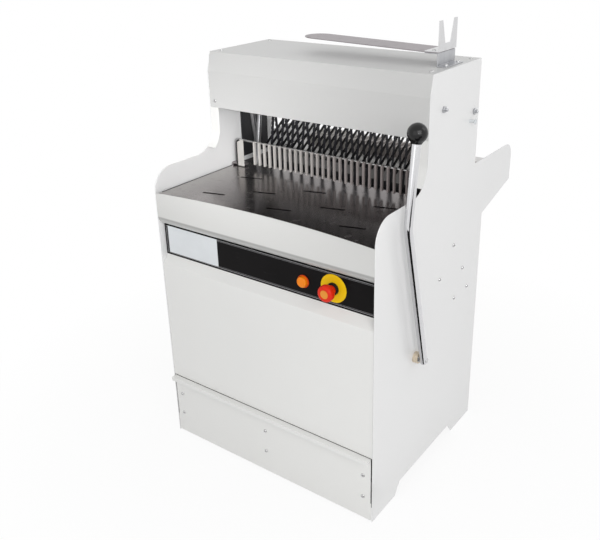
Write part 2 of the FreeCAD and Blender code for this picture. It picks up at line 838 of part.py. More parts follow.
def crumbDrawer():
    wall = size.SheetWall
    low = innerHalf - size.DrawerClearance
    high = innerHalf - size.ReliefClearance
    outline = [
        (-low, size.DrawerLowZ),
        (low, size.DrawerLowZ),
        (low, size.ReliefLowZ),
        (high, size.ReliefLowZ),
        (high, size.DrawerTopZ),
        (-high, size.DrawerTopZ),
        (-high, size.ReliefLowZ),
        (-low, size.ReliefLowZ),
    ]
    front = outlineBody("DrawerFront", "XZ_Plane", outline, wall, 0)
    lipOutline = [
        (wall, size.DrawerTopZ),
        (wall, size.DrawerTopZ + wall),
        (-size.LipReach, size.DrawerTopZ + wall),
        (-size.LipReach, size.DrawerTopZ + wall - size.LipDrop),
        (wall - size.LipReach, size.DrawerTopZ + wall - size.LipDrop),
        (wall - size.LipReach, size.DrawerTopZ),
    ]
    lip = outlineBody("DrawerLip", "YZ_Plane", lipOutline, high * 2, -high)
    subPart("drawer_front", [front, lip])

    half = innerHalf - size.TrayInnerInset
    topZ = size.DrawerTrayTopZ
    outer = box("DrawerOuter", (-half, half), (wall, wall + size.DrawerDepth),
                (size.DrawerTrayLowZ, topZ))
    inner = box("DrawerInner", (wall - half, half - wall), (wall * 2, size.DrawerDepth),
                (size.DrawerTrayLowZ + wall, topZ + wall))
    tray = cutOut("DrawerBox", outer, [inner])
    flanges = []
    runners = []
    for side in (LEFT, RIGHT):
        span = mirrored((half - wall, half + size.DrawerFlange), side)
        flanges.append(box("DrawerFlange" + SIDES[side], span, (wall, wall + size.DrawerDepth),
                           (topZ, topZ + wall)))
        top = topZ - size.RunnerClearance
        gapX = half + size.RunnerClearance * 4
        shelf = box("RunnerShelf" + SIDES[side], mirrored((gapX, innerHalf), side),
                    (wall * 4, wall + size.DrawerDepth), (top - wall, top))
        web = box("RunnerWeb" + SIDES[side], mirrored((innerHalf - wall, innerHalf), side),
                  (wall * 4, wall + size.DrawerDepth), (top - size.DrawerFlange, top))
        runners.append(fused("Runner" + SIDES[side], [shelf, web]))
    subPart("drawer_tray", [fused("DrawerTray", [tray] + flanges)])

    heads = []
    for row, z in enumerate((size.ScrewRowLowZ, size.ScrewRowHighZ)):
        for column, x in enumerate((size.ScrewInset - halfWidth, zero,
                                    halfWidth - size.ScrewInset)):
            heads.append(rod("DrawerScrew%d%d" % (row, column), "Y", (-size.ScrewHeadHeight, 0),
                             (x, z), size.ScrewHeadDiameter))
    subPart("drawer_screws", heads)
    return runners


# ---------------------------------------------------------------- hand lever

pivot = (size.PivotY, size.PivotZ)
carriagePinZ = size.BarLowZ + size.BarHeight / 2
armHeight = carriagePinZ - size.PivotZ
armLean = slopeAngle(size.Travel / 2, armHeight)
carriagePinY = size.PivotY + size.Travel / 2


def leverTube():
    """Round tube: straight from the pivot, one soft bend, straight to the knob."""
    foot = FreeCAD.Vector(0, size.PivotY.number, size.PivotZ.number)
    bend = FreeCAD.Vector(0, size.LeverBendY.number, size.LeverBendZ.number)
    knob = FreeCAD.Vector(0, size.KnobY.number, size.KnobZ.number)
    radius = size.LeverDiameter.number / 2
    lowRun = (bend - foot).normalize()
    highRun = (knob - bend).normalize()
    turn = lowRun.getAngle(highRun)
    setback = size.LeverBendRadius.number * math.tan(turn / 2)
    start = foot - lowRun * size.LeverTail.number
    entry = bend - lowRun * setback
    leave = bend + highRun * setback
    inward = (highRun - lowRun).normalize()
    depth = size.LeverBendRadius.number * (1 / math.cos(turn / 2) - 1)
    top = knob - highRun * (size.KnobDiameter.number / 2 - radius)
    path = Part.Wire([
        Part.LineSegment(start, entry).toShape(),
        Part.Arc(entry, bend + inward * depth, leave).toShape(),
        Part.LineSegment(leave, top).toShape(),
    ])
    ring = Part.Wire([Part.makeCircle(radius, start, lowRun)])
    tube = path.makePipeShell([ring], True, False)
    bore = Part.makeCylinder(size.SpigotDiameter.number / 2, radius * 4,
                             foot - FreeCAD.Vector(radius * 2, 0, 0), FreeCAD.Vector(1, 0, 0))
    ball = Part.makeSphere(size.KnobDiameter.number / 2, knob)
    tube = tube.cut(bore).cut(ball)
    tube.translate(FreeCAD.Vector(size.LeverPlane.number, 0, 0))
    return tube


def handLever():
    subPart("lever_tube", [freeShape("LeverTube", leverTube())])
    knob = document.addObject("Part::Sphere", "KnobBall")
    bind(knob, "Radius", size.KnobDiameter / 2)
    moveTo(knob, size.LeverPlane, size.KnobY, size.KnobZ)
    subPart("lever_knob", [knob])
    reach = size.LeverDiameter / 2
    shaft = rod("LeverShaft", "X", (size.SheetWall - innerHalf, size.LeverPlane - reach), pivot,
                size.ShaftDiameter)
    spigot = rod("LeverSpigot", "X", (size.LeverPlane - reach, size.LeverPlane + reach), pivot,
                 size.SpigotDiameter)
    subPart("lever_shaft", [fused("LeverShaftWhole", [shaft, spigot])])
    boreDiameter = size.ShaftDiameter + size.RunningClearance * 2
    bore = rod("BushBore", "X", through(zero), pivot, boreDiameter)
    bushes = []
    spans = {
        LEFT: (-innerHalf, size.BushProud * 1.5 - innerHalf),
        RIGHT: (innerHalf - size.BushProud, halfWidth + size.BushProud),
    }
    for side, span in spans.items():
        ring = rod("LeverBushRing" + SIDES[side], "X", span, pivot, size.BushDiameter)
        bushes.append(cutOut("LeverBush" + SIDES[side], ring, [bore]))
    subPart("lever_bushes", bushes)

    arms = []
    for side in (LEFT, RIGHT):
        name = "Arm" + SIDES[side]
        span = mirrored(around(size.ArmPlane, size.ArmThickness), side)
        hub = rod(name + "Hub", "X", span, (zero, zero), size.ArmHubDiameter)
        blade = box(name + "Blade", span, around(zero, size.ArmWidth), (0, size.ArmReach))
        slotWidth = size.PinDiameter + size.PinPlay * 2
        fork = box(name + "Slot", span, around(zero, slotWidth),
                   (armHeight - slotWidth, size.ArmReach * 2))
        hole = rod(name + "Hole", "X", span, (zero, zero), size.ShaftDiameter)
        arms.append(cutOut(name, fused(name + "Solid", [hub, blade]), [fork, hole]))
    subPart("lever_arms", [turned("ArmsLeaned", arms, "X", -armLean,
                                  (0, size.PivotY, size.PivotZ))])


# ---------------------------------------------------------------- loaf carriage

carriageZ = (size.BarLowZ, size.BarLowZ + size.BarHeight)
barOuterX = size.BarInnerX + size.BarThickness
padZ = (size.TableZ + size.TableClearance, size.TableZ + size.TableClearance + size.StrapThickness)
blockX = around(size.GuideRodX, size.BracketHalf * 2)
blockZ = around(size.GuideRodZ, size.BracketHeight)
guideBoreDiameter = size.GuideRodDiameter + size.RunningClearance * 2


def carriageSides():
    bars = []
    bushes = []
    for side in (LEFT, RIGHT):
        name = SIDES[side]
        bars.append(box("CarriageBar" + name, mirrored((size.BarInnerX, barOuterX), side),
                        (size.BarFrontY, size.BarRearY), carriageZ))
        pinReach = size.ArmPlane - size.ArmThickness / 2 - size.PinPlay
        bars.append(rod("CarriagePin" + name, "X", mirrored((pinReach, size.BarInnerX), side),
                        (carriagePinY, carriagePinZ), size.PinDiameter))
        line = (side * size.GuideRodX, size.GuideRodZ)
        low = (blockZ[0], size.BarLowZ)
        for end, y in (("Front", size.SlideBushFrontY), ("Rear", size.SlideBushRearY)):
            block = box("SlideBlock%s%s" % (end, name), mirrored(blockX, side),
                        (y, y + size.SlideBushLength), low)
            bore = rod("SlideBore%s%s" % (end, name), "Y", through(y), line, guideBoreDiameter)
            bushes.append(cutOut("SlideBush%s%s" % (end, name), block, [bore]))
    subPart("carriage_bars", bars)
    subPart("carriage_bushes", bushes)


def guideRods():
    rods = []
    brackets = []
    rearY = size.GuideRodRearY
    for side in (LEFT, RIGHT):
        name = SIDES[side]
        line = (side * size.GuideRodX, size.GuideRodZ)
        rods.append(rod("GuideRod" + name, "Y", (size.BracketFrontY, rearY), line,
                        size.GuideRodDiameter))
        span = mirrored((blockX[0], innerHalf), side)
        for end, y in (("Front", size.BracketFrontY), ("Rear", rearY - size.BracketThickness)):
            block = box("RodBlock%s%s" % (end, name), span, (y, y + size.BracketThickness), blockZ)
            hole = rod("RodHole%s%s" % (end, name), "Y", through(y), line,
                       size.GuideRodDiameter)
            brackets.append(cutOut("RodBracket%s%s" % (end, name), block, [hole]))
    subPart("guide_rods", rods)
    return brackets


strapX = (barOuterX, barOuterX + size.StrapThickness)
fingerSpanX = (size.FingerCount - 1) * size.FingerPitch / 2 + size.FingerWidth / 2


def strap(name, side, y):
    """Strap that carries a comb past the edge of the table, with its foot turned inward."""
    upright = box(name + "Upright", mirrored(strapX, side), (y, y + size.StrapWidth),
                  (size.BarLowZ, padZ[1]))
    foot = box(name + "Foot", mirrored((size.LegInnerX, strapX[1]), side),
               (y, y + size.StrapWidth), padZ)
    return fused(name, [upright, foot])


def frontComb():
    outline = [
        (size.CombFrontY, size.CombLowZ),
        (size.CombFrontY + size.FingerDepth, size.CombLowZ),
        (size.CombFrontY + size.FingerDepth, size.CombTopZ),
        (size.CombFrontY, size.CombTopZ),
    ]
    fingers = outlineBody("CombFinger", "YZ_Plane", outline, size.FingerWidth, -fingerSpanX,
                          rounds=[(3, size.FingerTopRadius)],
                          row=(size.FingerCount, size.FingerPitch))
    subPart("comb_fingers", [fingers])
    rodY = size.CombFrontY + size.FingerDepth + size.CombRodDiameter / 2
    legOuterX = size.LegInnerX + size.LegWidth
    combRod = rod("CombRod", "X", (size.LegThickness - legOuterX, legOuterX - size.LegThickness),
                  (rodY, size.CombRodZ), size.CombRodDiameter)
    legs = []
    straps = []
    for side in (LEFT, RIGHT):
        name = "CombLeg" + SIDES[side]
        inner, outer = side * size.LegInnerX, side * legOuterX
        face = [(inner, size.LegLowZ), (outer, size.LegLowZ), (outer, size.CombTopZ),
                (inner, size.CombTopZ)]
        if side == LEFT:
            face = [face[1], face[0], face[3], face[2]]
        corner = 3 if side == LEFT else 2
        plate = outlineBody(name + "Face", "XZ_Plane", face, size.LegThickness, size.CombFrontY,
                            rounds=[(corner, size.LegCornerRadius)])
        back = box(name + "Return",
                   mirrored((legOuterX - size.LegThickness, legOuterX), side),
                   (size.CombFrontY, rodY + size.CombRodDiameter / 2),
                   (padZ[1], size.CombTopZ - size.LegCornerRadius + size.LegThickness * 2))
        legs.append(fused(name, [plate, back]))
        straps.append(strap("CombStrap" + SIDES[side], side, size.CombFrontY + size.LegThickness))
    subPart("comb_frame", legs + [combRod])
    return straps


def rearPusher():
    outline = [
        (size.PusherFrontY, padZ[1]),
        (size.PusherRearY, padZ[1]),
        (size.PusherRearY, size.PusherTopZ),
        (size.PusherFrontY, size.PusherTopZ),
    ]
    fingers = outlineBody("PusherFinger", "YZ_Plane", outline, size.FingerWidth, -fingerSpanX,
                          rounds=[(3, size.FingerTopRadius)],
                          row=(size.FingerCount, size.FingerPitch))
    subPart("pusher_fingers", [fingers])
    bar = box("PusherBar", (-size.LegInnerX, size.LegInnerX),
              (size.PusherBarY, size.PusherBarY + size.PusherBarDepth), padZ)
    straps = [strap("PusherStrap" + SIDES[side], side, size.PusherBarY + size.StrapThickness)
              for side in (LEFT, RIGHT)]
    return straps + [bar]


# ---------------------------------------------------------------- hold-down comb

def holdDown():
    drop = size.HoldRodZ - size.HoldTipZ
    reach = size.HoldRodY - size.HoldTipY
    length = root(drop * drop + reach * reach)
    half = size.HoldStripWidth / 2
    rodRadius = size.HoldRodDiameter / 2
    outline = [(-length, -half), (-rodRadius, -half), (-rodRadius, half), (-length, half)]
    reachX = (size.FingerCount - 1) * size.FingerPitch / 2 + size.HoldStripThickness / 2
    strips = outlineBody("HoldStrip", "YZ_Plane", outline, size.HoldStripThickness, -reachX,
                         row=(size.FingerCount, size.FingerPitch))
    hinge = (0, size.HoldRodY, size.HoldRodZ)
    subPart("hold_down_strips", [turned("StripsLeaned", [strips], "X", slopeAngle(drop, reach),
                                        hinge)])
    bracketX = (innerHalf - size.HoldBracketThickness, innerHalf)
    middle = bracketX[0] + size.HoldBracketThickness / 2
    line = (size.HoldRodY, size.HoldRodZ)
    subPart("hold_down_rod", [rod("HoldRod", "X", (-middle, middle), line, size.HoldRodDiameter)])
    brackets = []
    for side in (LEFT, RIGHT):
        name = "HoldBracket" + SIDES[side]
        block = box(name + "Block", mirrored(bracketX, side),
                    around(size.HoldRodY, size.HoldBracketSize),
                    around(size.HoldRodZ, size.HoldBracketSize))
        bore = rod(name + "Bore", "X", mirrored(bracketX, side), line,
                   size.HoldRodDiameter + size.RunningClearance * 2)
        brackets.append(cutOut(name, block, [bore]))
    return brackets


# ---------------------------------------------------------------- blade frames

# A frame is built upright about the point where the two frames cross, then leaned:
# frame A leans back at its top and frame B leans forward by the same angle.
LEAN = {"a": -1, "b": 1}


def leaned(name, pieces, key):
    return turned(name, pieces, "X", size.FrameTilt * LEAN[key], (0, size.CrossY, size.CrossZ))


frameBarMiddle = -size.BladeLow - size.FrameBarHeight / 2
rockerZ = size.CrossZ + frameBarMiddle / cosine(size.FrameTilt)
PIN_SIDE = {"a": LEFT, "b": RIGHT}


def bladeFrame(key):
    tag = "Frame" + key.upper()
    columnX = size.ColumnPlaneA if key == "a" else size.ColumnPlaneB
    bars = []
    columns = []
    for side in (LEFT, RIGHT):
        columns.append(rod(tag + "Column" + SIDES[side], "Z",
                           (-size.ColumnLow, size.ColumnHigh), (side * columnX, zero),
                           size.ColumnDiameter))
    for end, low in (("Low", -size.BladeLow - size.FrameBarHeight), ("High", size.BladeHigh)):
        beam = box(tag + "Bar" + end, (-columnX, columnX), around(zero, size.FrameBarDepth),
                   (low, low + size.FrameBarHeight))
        collars = [rod("%sCollar%s%s" % (tag, end, SIDES[side]), "Z",
                       (low, low + size.FrameBarHeight), (side * columnX, zero),
                       size.FrameCollarDiameter) for side in (LEFT, RIGHT)]
        holes = [rod("%sBarHole%s%s" % (tag, end, SIDES[side]), "Z", through(low),
                     (side * columnX, zero), size.ColumnDiameter) for side in (LEFT, RIGHT)]
        whole = fused(tag + "BarWhole" + end, [beam] + collars)
        bars.append(cutOut(tag + "BarBored" + end, whole, holes))
    near = {"a": size.FrameBarDepth / 2, "b": -size.FrameBarDepth / 2 - size.RockerPinLength}[key]
    pin = rod("RockerPin" + key.upper(), "Y", (near, near + size.RockerPinLength),
              (PIN_SIDE[key] * size.RockerArm, frameBarMiddle), size.RockerPinDiameter)
    carrier = leaned(tag + "Carrier", bars + columns + [pin], key)
    subPart("frame_%s_carrier" % key, [carrier])

    outline = [
        (-size.BladeDepth / 2, -size.BladeLow),
        (size.BladeDepth / 2, -size.BladeLow),
        (size.BladeDepth / 2, size.BladeHigh),
        (-size.BladeDepth / 2, size.BladeHigh),
    ]
    # One blade in each gap of the comb; the frames carry every other one, so a has one more.
    count = (size.BladeCount + (1 if key == "a" else -1)) / 2
    firstX = (1 - count) * size.FingerPitch - size.BladeThickness / 2
    blades = outlineBody(tag + "Blade", "YZ_Plane", outline, size.BladeThickness, firstX,
                         row=(count, size.FingerPitch * 2))
    subPart("frame_%s_blades" % key, [leaned(tag + "Blades", [blades], key)])


def guideBeams(key):
    """Two cross beams and four bushes that guide the columns of a frame."""
    tag = "Guide" + key.upper()
    columnX = size.ColumnPlaneA if key == "a" else size.ColumnPlaneB
    reach = innerHalf - size.EndPlateThickness
    bushes = []
    beams = []
    for end, low in (("lower", -size.GuideBeamLow - size.GuideBeamHeight),
                     ("upper", size.GuideBeamHigh)):
        whole = box(tag + "Beam" + end, (-reach, reach), around(zero, size.GuideBeamDepth),
                    (low, low + size.GuideBeamHeight))
        seats = []
        for side in (LEFT, RIGHT):
            name = "%s%s%s" % (tag, end, SIDES[side])
            line = (side * columnX, zero)
            seats.append(rod(name + "Seat", "Z", through(low), line, size.GuideBushDiameter))
            if end == "lower":
                top = low + size.GuideBeamHeight
                span = (top - size.GuideBushLength, top)
            else:
                span = (low, low + size.GuideBushLength)
            ring = rod(name + "Ring", "Z", span, line, size.GuideBushDiameter)
            bore = rod(name + "Bore", "Z", through(low), line,
                       size.ColumnDiameter + size.RunningClearance * 2)
            bushes.append(cutOut(name + "Bush", ring, [bore]))
        beams.append(cutOut(tag + end, whole, seats))
    return leaned(tag + "Beams", beams, key), leaned(tag + "Bushes", bushes, key)


def endPlates():
    """Plates inside the side panels: two hold the guide beams, one guards the blade ends."""
    guard = ((size.GuardFrontY, size.GuardRearY), (size.GuardLowZ, size.UpperPlateLowZ))
    upper = ((size.UpperPlateFrontY, size.UpperPlateRearY),
             (size.UpperPlateLowZ, size.UpperPlateTopZ))
    lower = ((size.LowerPlateFrontY, size.LowerPlateRearY),
             (size.LowerPlateLowZ, size.LowerPlateTopZ))
    plates = []
    for side in (LEFT, RIGHT):
        x = mirrored((innerHalf - size.EndPlateThickness, innerHalf), side)
        plates.append(box("UpperPlate" + SIDES[side], x, *upper))
        plates.append(box("LowerPlate" + SIDES[side], x, *lower))
        plates.append(box("GuardPlate" + SIDES[side], x, *guard))
    subPart("end_plates", plates)


# ---------------------------------------------------------------- rocker

def rocker():
    """Beam that ties the frames, so that one goes down while the other comes up."""
    middle = around(size.CrossY, size.RockerThickness)
    halfLength = size.RockerArm + size.RockerEnd
    beam = box("RockerPlate", (-halfLength, halfLength), middle, around(rockerZ, size.RockerHeight))
    deep = through(size.CrossY)
    tools = [rod("RockerBore", "Y", deep, (zero, rockerZ),
                 size.RockerPivotDiameter + size.RunningClearance * 2)]
    slotHeight = size.RockerPinDiameter / cosine(size.FrameTilt) \
        + size.RockerThickness * sine(size.FrameTilt) + size.RockerPinPlay
    slotLength = size.RockerPinDiameter + size.RockerSlotPlay * 2
    for side in (LEFT, RIGHT):
        tools.append(box("RockerSlot" + SIDES[side], around(side * size.RockerArm, slotLength),
                         deep, around(rockerZ, slotHeight)))
    subPart("rocker_beam", [cutOut("Rocker", beam, tools)])

    beamMiddle = size.GuideBeamLow + size.GuideBeamHeight / 2
    beamShift = beamMiddle * sine(size.FrameTilt)
    beamZ = size.CrossZ - beamMiddle * cosine(size.FrameTilt)
    saddleX = around(zero, size.SaddleWidth)
    saddle = box("SaddleBlock", saddleX, around(size.CrossY, beamShift * 2),
                 around(beamZ, size.GuideBeamHeight))
    beams = []
    for key in LEAN:
        solid = box("SaddleBeam" + key.upper(), around(zero, size.SaddleWidth * 2),
                    around(zero, size.GuideBeamDepth),
                    (-beamMiddle - size.GuideBeamHeight / 2, size.GuideBeamHeight / 2 - beamMiddle))
        beams.append(leaned("SaddleBeamLeaned" + key.upper(), [solid], key))
    gap = size.RockerSideGap
    postY = size.CrossY + size.RockerThickness / 2 + gap
    post = box("SaddlePost", saddleX, (postY, postY + size.RockerThickness),
               (beamZ, rockerZ + size.RockerPivotDiameter))
    hole = rod("SaddleHole", "Y", through(postY), (zero, rockerZ), size.RockerPivotDiameter)
    holder = cutOut("Saddle", fused("SaddleSolid", [saddle, post]), beams + [hole])
    pivotPin = rod("RockerPivot", "Y", (size.CrossY - size.RockerThickness / 2 - gap,
                                        postY + size.RockerThickness),
                   (zero, rockerZ), size.RockerPivotDiameter)
    subPart("rocker_saddle", [holder, pivotPin])


# ---------------------------------------------------------------- crank and drive

# The eye of each connecting rod, worked out from the leaned frame A that carries it.
eyeY = size.CrossY + size.RodOffset * cosine(size.FrameTilt) \
    - size.RodEyeDown * sine(size.FrameTilt)
eyeZ = size.CrossZ - size.RodOffset * sine(size.FrameTilt) \
    - size.RodEyeDown * cosine(size.FrameTilt)
crankY = eyeY + size.CrankRadius
crankLine = (crankY, eyeZ)
rodInnerX = size.RodPlane - size.RodThickness / 2
discOuterX = rodInnerX - size.CrankPinGap - size.CrankPinLength


def connectingRods():
    rods = []
    for side in (LEFT, RIGHT):
        name = "ConRod" + SIDES[side]
        span = mirrored(around(size.RodPlane, size.RodThickness), side)
        shank = box(name + "Shank", span, around(size.RodOffset, size.RodWidth),
                    (-size.RodEyeDown, -size.BladeLow))
        foot = box(name + "Foot", span,
                   (size.FrameBarDepth / 2, size.RodOffset + size.RodWidth / 2),
                   (-size.BladeLow - size.FrameBarHeight, -size.BladeLow))
        eye = rod(name + "Eye", "X", span, (size.RodOffset, -size.RodEyeDown),
                  size.RodEyeDiameter)
        bore = rod(name + "Bore", "X", span, (size.RodOffset, -size.RodEyeDown),
                   size.CrankPinDiameter + size.RunningClearance * 2)
        rods.append(cutOut(name, fused(name + "Solid", [shank, foot, eye]), [bore]))
    subPart("connecting_rods", [leaned("ConRods", rods, "a")])


def crank():
    discs = []
    bearings = []
    discInnerX = discOuterX - size.CrankDiscThickness
    for side in (LEFT, RIGHT):
        name = "Crank" + SIDES[side]
        disc = rod(name + "Disc", "X", mirrored((discInnerX, discOuterX), side), crankLine,
                   size.CrankDiscDiameter)
        pin = rod(name + "Pin", "X",
                  mirrored((discOuterX, discOuterX + size.CrankPinLength), side),
                  (crankY - size.CrankRadius, eyeZ), size.CrankPinDiameter)
        discs.append(fused(name, [disc, pin]))
        span = mirrored(around(size.BearingPlane, size.BearingLength), side)
        bedTop = size.BedLowZ + size.BedThickness
        ring = rod(name + "BearingRing", "X", span, crankLine, size.BearingDiameter)
        stand = box(name + "Stand", span, around(crankY, size.BearingDiameter), (bedTop, eyeZ))
        bore = rod(name + "BearingBore", "X", span, crankLine,
                   size.CrankShaftDiameter + size.RunningClearance * 2)
        bearings.append(cutOut(name + "Bearing", fused(name + "Housing", [ring, stand]), [bore]))
    shaft = rod("CrankShaft", "X", (-discInnerX, discInnerX), crankLine, size.CrankShaftDiameter)
    subPart("crankshaft", [shaft] + discs)
    subPart("crank_bearings", bearings)


def pulley(name, centre, diameter, shaftDiameter):
    span = around(size.BeltPlane, size.PulleyWidth)
    beltRoom = size.BeltWidth + size.BeltPlay * 2
    core = rod(name + "Core", "X", span, centre, diameter - size.PulleyFlangeDepth * 2)
    flanges = [
        rod(name + "FlangeA", "X", (span[0], size.BeltPlane - beltRoom / 2), centre, diameter),
        rod(name + "FlangeB", "X", (size.BeltPlane + beltRoom / 2, span[1]), centre, diameter),
    ]
    hole = rod(name + "Hole", "X", span, centre, shaftDiameter)
    return cutOut(name, fused(name + "Solid", [core] + flanges), [hole])


def beltLoop(first, firstRadius, second, secondRadius):
    """Closed line of a belt around two round pulleys, in the plane across the shafts."""
    line = second - first
    length = line.Length
    along = math.atan2(line.z, line.y)
    spread = math.acos((firstRadius - secondRadius) / length)

    def spot(centre, radius, angle):
        return centre + FreeCAD.Vector(0, radius * math.cos(angle), radius * math.sin(angle))

    firstHigh = spot(first, firstRadius, along + spread)
    firstLow = spot(first, firstRadius, along - spread)
    secondHigh = spot(second, secondRadius, along + spread)
    secondLow = spot(second, secondRadius, along - spread)
    return Part.Wire([
        Part.LineSegment(firstLow, secondLow).toShape(),
        Part.Arc(secondLow, spot(second, secondRadius, along), secondHigh).toShape(),
        Part.LineSegment(secondHigh, firstHigh).toShape(),
        Part.Arc(firstHigh, spot(first, firstRadius, along + math.pi), firstLow).toShape(),
    ])


def drive():
    motorLine = (size.MotorY, size.MotorZ)
    subPart("driven_pulley", [pulley("DrivenPulley", crankLine, size.DrivenPulleyDiameter,
                                     size.CrankShaftDiameter)])
    smallPulley = pulley("MotorPulley", motorLine, size.MotorPulleyDiameter,
                         size.MotorShaftDiameter)
    halfPulley = size.PulleyWidth / 2
    motorX = (size.MotorFrontX, size.MotorFrontX + size.MotorLength)
    shaftX = (size.BeltPlane - halfPulley, motorX[0] + size.MotorShaftDepth)
    motorShaft = rod("MotorShaft", "X", shaftX, motorLine, size.MotorShaftDiameter)
    subPart("motor_rotor", [motorShaft, smallPulley])

    housing = rod("MotorHousing", "X", motorX, motorLine, size.MotorDiameter)
    inset = size.MotorFootInset
    foot = box("MotorFoot", (motorX[0] + inset, motorX[1] - inset),
               around(size.MotorY, size.MotorFootWidth), (size.MotorZ, size.BedLowZ))
    clear = size.MotorShaftDiameter + size.RunningClearance * 2
    bore = rod("MotorBore", "X", (shaftX[0], shaftX[1] + size.RunningClearance), motorLine, clear)
    motor = cutOut("Motor", fused("MotorSolid", [housing, foot]), [bore])
    boxY = size.MotorY + size.MotorDiameter / 2
    terminal = box("TerminalBlock", around(motorX[0] + size.MotorLength / 2, size.TerminalBoxSize),
                   (size.MotorY, boxY + size.TerminalBoxProud),
                   around(size.MotorZ, size.TerminalBoxSize))
    solidMotor = rod("TerminalCurve", "X", motorX, motorLine, size.MotorDiameter)
    subPart("motor", [motor, cutOut("TerminalBox", terminal, [solidMotor])])

    beltRadiusA = size.DrivenPulleyDiameter.number / 2 - size.PulleyFlangeDepth.number
    beltRadiusB = size.MotorPulleyDiameter.number / 2 - size.PulleyFlangeDepth.number
    play = size.BeltPlay.number
    thick = size.BeltThickness.number
    plane = size.BeltPlane.number - size.BeltWidth.number / 2
    first = FreeCAD.Vector(plane, crankY.number, eyeZ.number)
    second = FreeCAD.Vector(plane, size.MotorY.number, size.MotorZ.number)
    outer = beltLoop(first, beltRadiusA + play + thick, second, beltRadiusB + play + thick)
    inner = beltLoop(first, beltRadiusA + play, second, beltRadiusB + play)
    band = Part.Face(outer).cut(Part.Face(inner))
    belt = band.extrude(FreeCAD.Vector(size.BeltWidth.number, 0, 0))
    subPart("drive_belt", [freeShape("Belt", belt)])

    reach = innerHalf - size.EndPlateThickness
    bedZ = (size.BedLowZ, size.BedLowZ + size.BedThickness)
    bed = box("BedPlate", (-reach, reach), (size.BedFrontY, size.BedRearY), bedZ)
    gap = size.BedWindowGap
    window = box("BedWindow", around(size.BeltPlane, size.PulleyWidth + gap * 2),
                 (size.BedFrontY + gap, size.BedRearY - gap), through(bedZ[0]))
    subPart("drive_bed", [cutOut("Bed", bed, [window])])


# ---------------------------------------------------------------- bag spoon

shelfZ = size.HoodTopZ + size.SpoonBracketZ
spoonThickness = size.SpoonPlateThickness


def spoonHolder():
    thick = size.SpoonPlateThickness
    y = (size.SpoonFrontY, size.SpoonFrontY + size.SpoonBracketDepth)
    webX = (size.SpoonPlateX - thick, size.SpoonPlateX)
    web = box("SpoonWeb", webX, y, (size.HoodTopZ, shelfZ))
    foot = box("SpoonFoot", (webX[0], webX[1] + size.SpoonFootWidth), y,
               (size.HoodTopZ, size.HoodTopZ + thick))
    shelf = box("SpoonShelf", (webX[1] - size.SpoonShelfWidth, webX[1]), y, (shelfZ - thick, shelfZ))
    subPart("spoon_bracket", [fused("SpoonBracket", [web, foot, shelf])])

    clampZ = (shelfZ + spoonThickness, shelfZ + spoonThickness * 2)
    clamp = box("ForkFoot", (webX[1] - size.SpoonShelfWidth, webX[1] + thick), y, clampZ)
    forkLow = clampZ[0]
    forkTop = forkLow + size.ForkHeight
    middle = y[0] + size.SpoonBracketDepth / 2
    notchZ = forkTop - size.ForkNotchDepth
    outline = [
        (y[0], forkLow),
        (y[1], forkLow),
        (middle + size.ForkNotchHigh / 2 + size.ForkProngWidth, forkTop),
        (middle + size.ForkNotchHigh / 2, forkTop),
        (middle + size.ForkNotchLow / 2, notchZ),
        (middle - size.ForkNotchLow / 2, notchZ),
        (middle - size.ForkNotchHigh / 2, forkTop),
        (middle - size.ForkNotchHigh / 2 - size.ForkProngWidth, forkTop),
    ]
    fork = outlineBody("Fork", "YZ_Plane", outline, thick, webX[1])
    subPart("fork_plate", [fused("ForkPlate", [clamp, fork])])

    # The spoon lies on the shelf and rises a little towards its round free end.
    length = size.SpoonLength - size.SpoonWidth / 2
    blade = box("SpoonBlade", (-length, 0), (0, size.SpoonWidth), (0, spoonThickness))
    tip = rod("SpoonTip", "Z", (zero, spoonThickness), (-length, size.SpoonWidth / 2),
              size.SpoonWidth)
    solid = fused("SpoonFlat", [blade, tip])
    shelfBlock = box("SpoonLanding", (-size.SpoonShelfWidth, 0), (0, size.SpoonWidth),
                     (0, spoonThickness))
    risen = turned("SpoonRisen", [solid], "Y", size.SpoonRise, (-size.SpoonShelfWidth, 0, 0))
    under = box("SpoonTrim", (-size.SpoonShelfWidth, size.SpoonShelfWidth), (0, size.SpoonWidth),
                (-size.SpoonWidth, 0))
    joined = cutOut("SpoonWhole", fused("SpoonParts", [risen, shelfBlock]), [under])
    placed = document.addObject("Part::Compound", "SpoonPlaced")
    placed.Links = [joined]
    moveTo(placed, webX[1], y[0], shelfZ)
    subPart("bag_spoon", [placed])

    boltX = webX[1] - size.SpoonShelfWidth / 2
    bolts = [rod("SpoonBolt%d" % number, "Z", (clampZ[1], clampZ[1] + size.ScrewHeadHeight),
                 (boltX, y[0] + size.SpoonBoltInset + size.SpoonBoltPitch * number),
                 size.ScrewHeadDiameter)
             for number in range(2)]
    footBoltX = webX[1] + size.SpoonFootWidth / 2
    footBoltZ = (size.HoodTopZ + thick, size.HoodTopZ + thick + size.ScrewHeadHeight)
    bolts += [rod("FootBolt%d" % number, "Z", footBoltZ,
                  (footBoltX, y[0] + size.FootBoltInset + size.FootBoltPitch * number),
                  size.ScrewHeadDiameter)
              for number in range(2)]
    return bolts


# ---------------------------------------------------------------- side bolts

# Bolt heads on each side panel, as (Y, Z) from the lower front corner of the end plate
# behind them.
UPPER_BOLTS = [(12, 49), (180, 11)]
LOWER_BOLTS = [(84, 175), (145, 88), (12, 107), (181, 19), (104, 16)]
HOOK_SPOT = (160, -9)


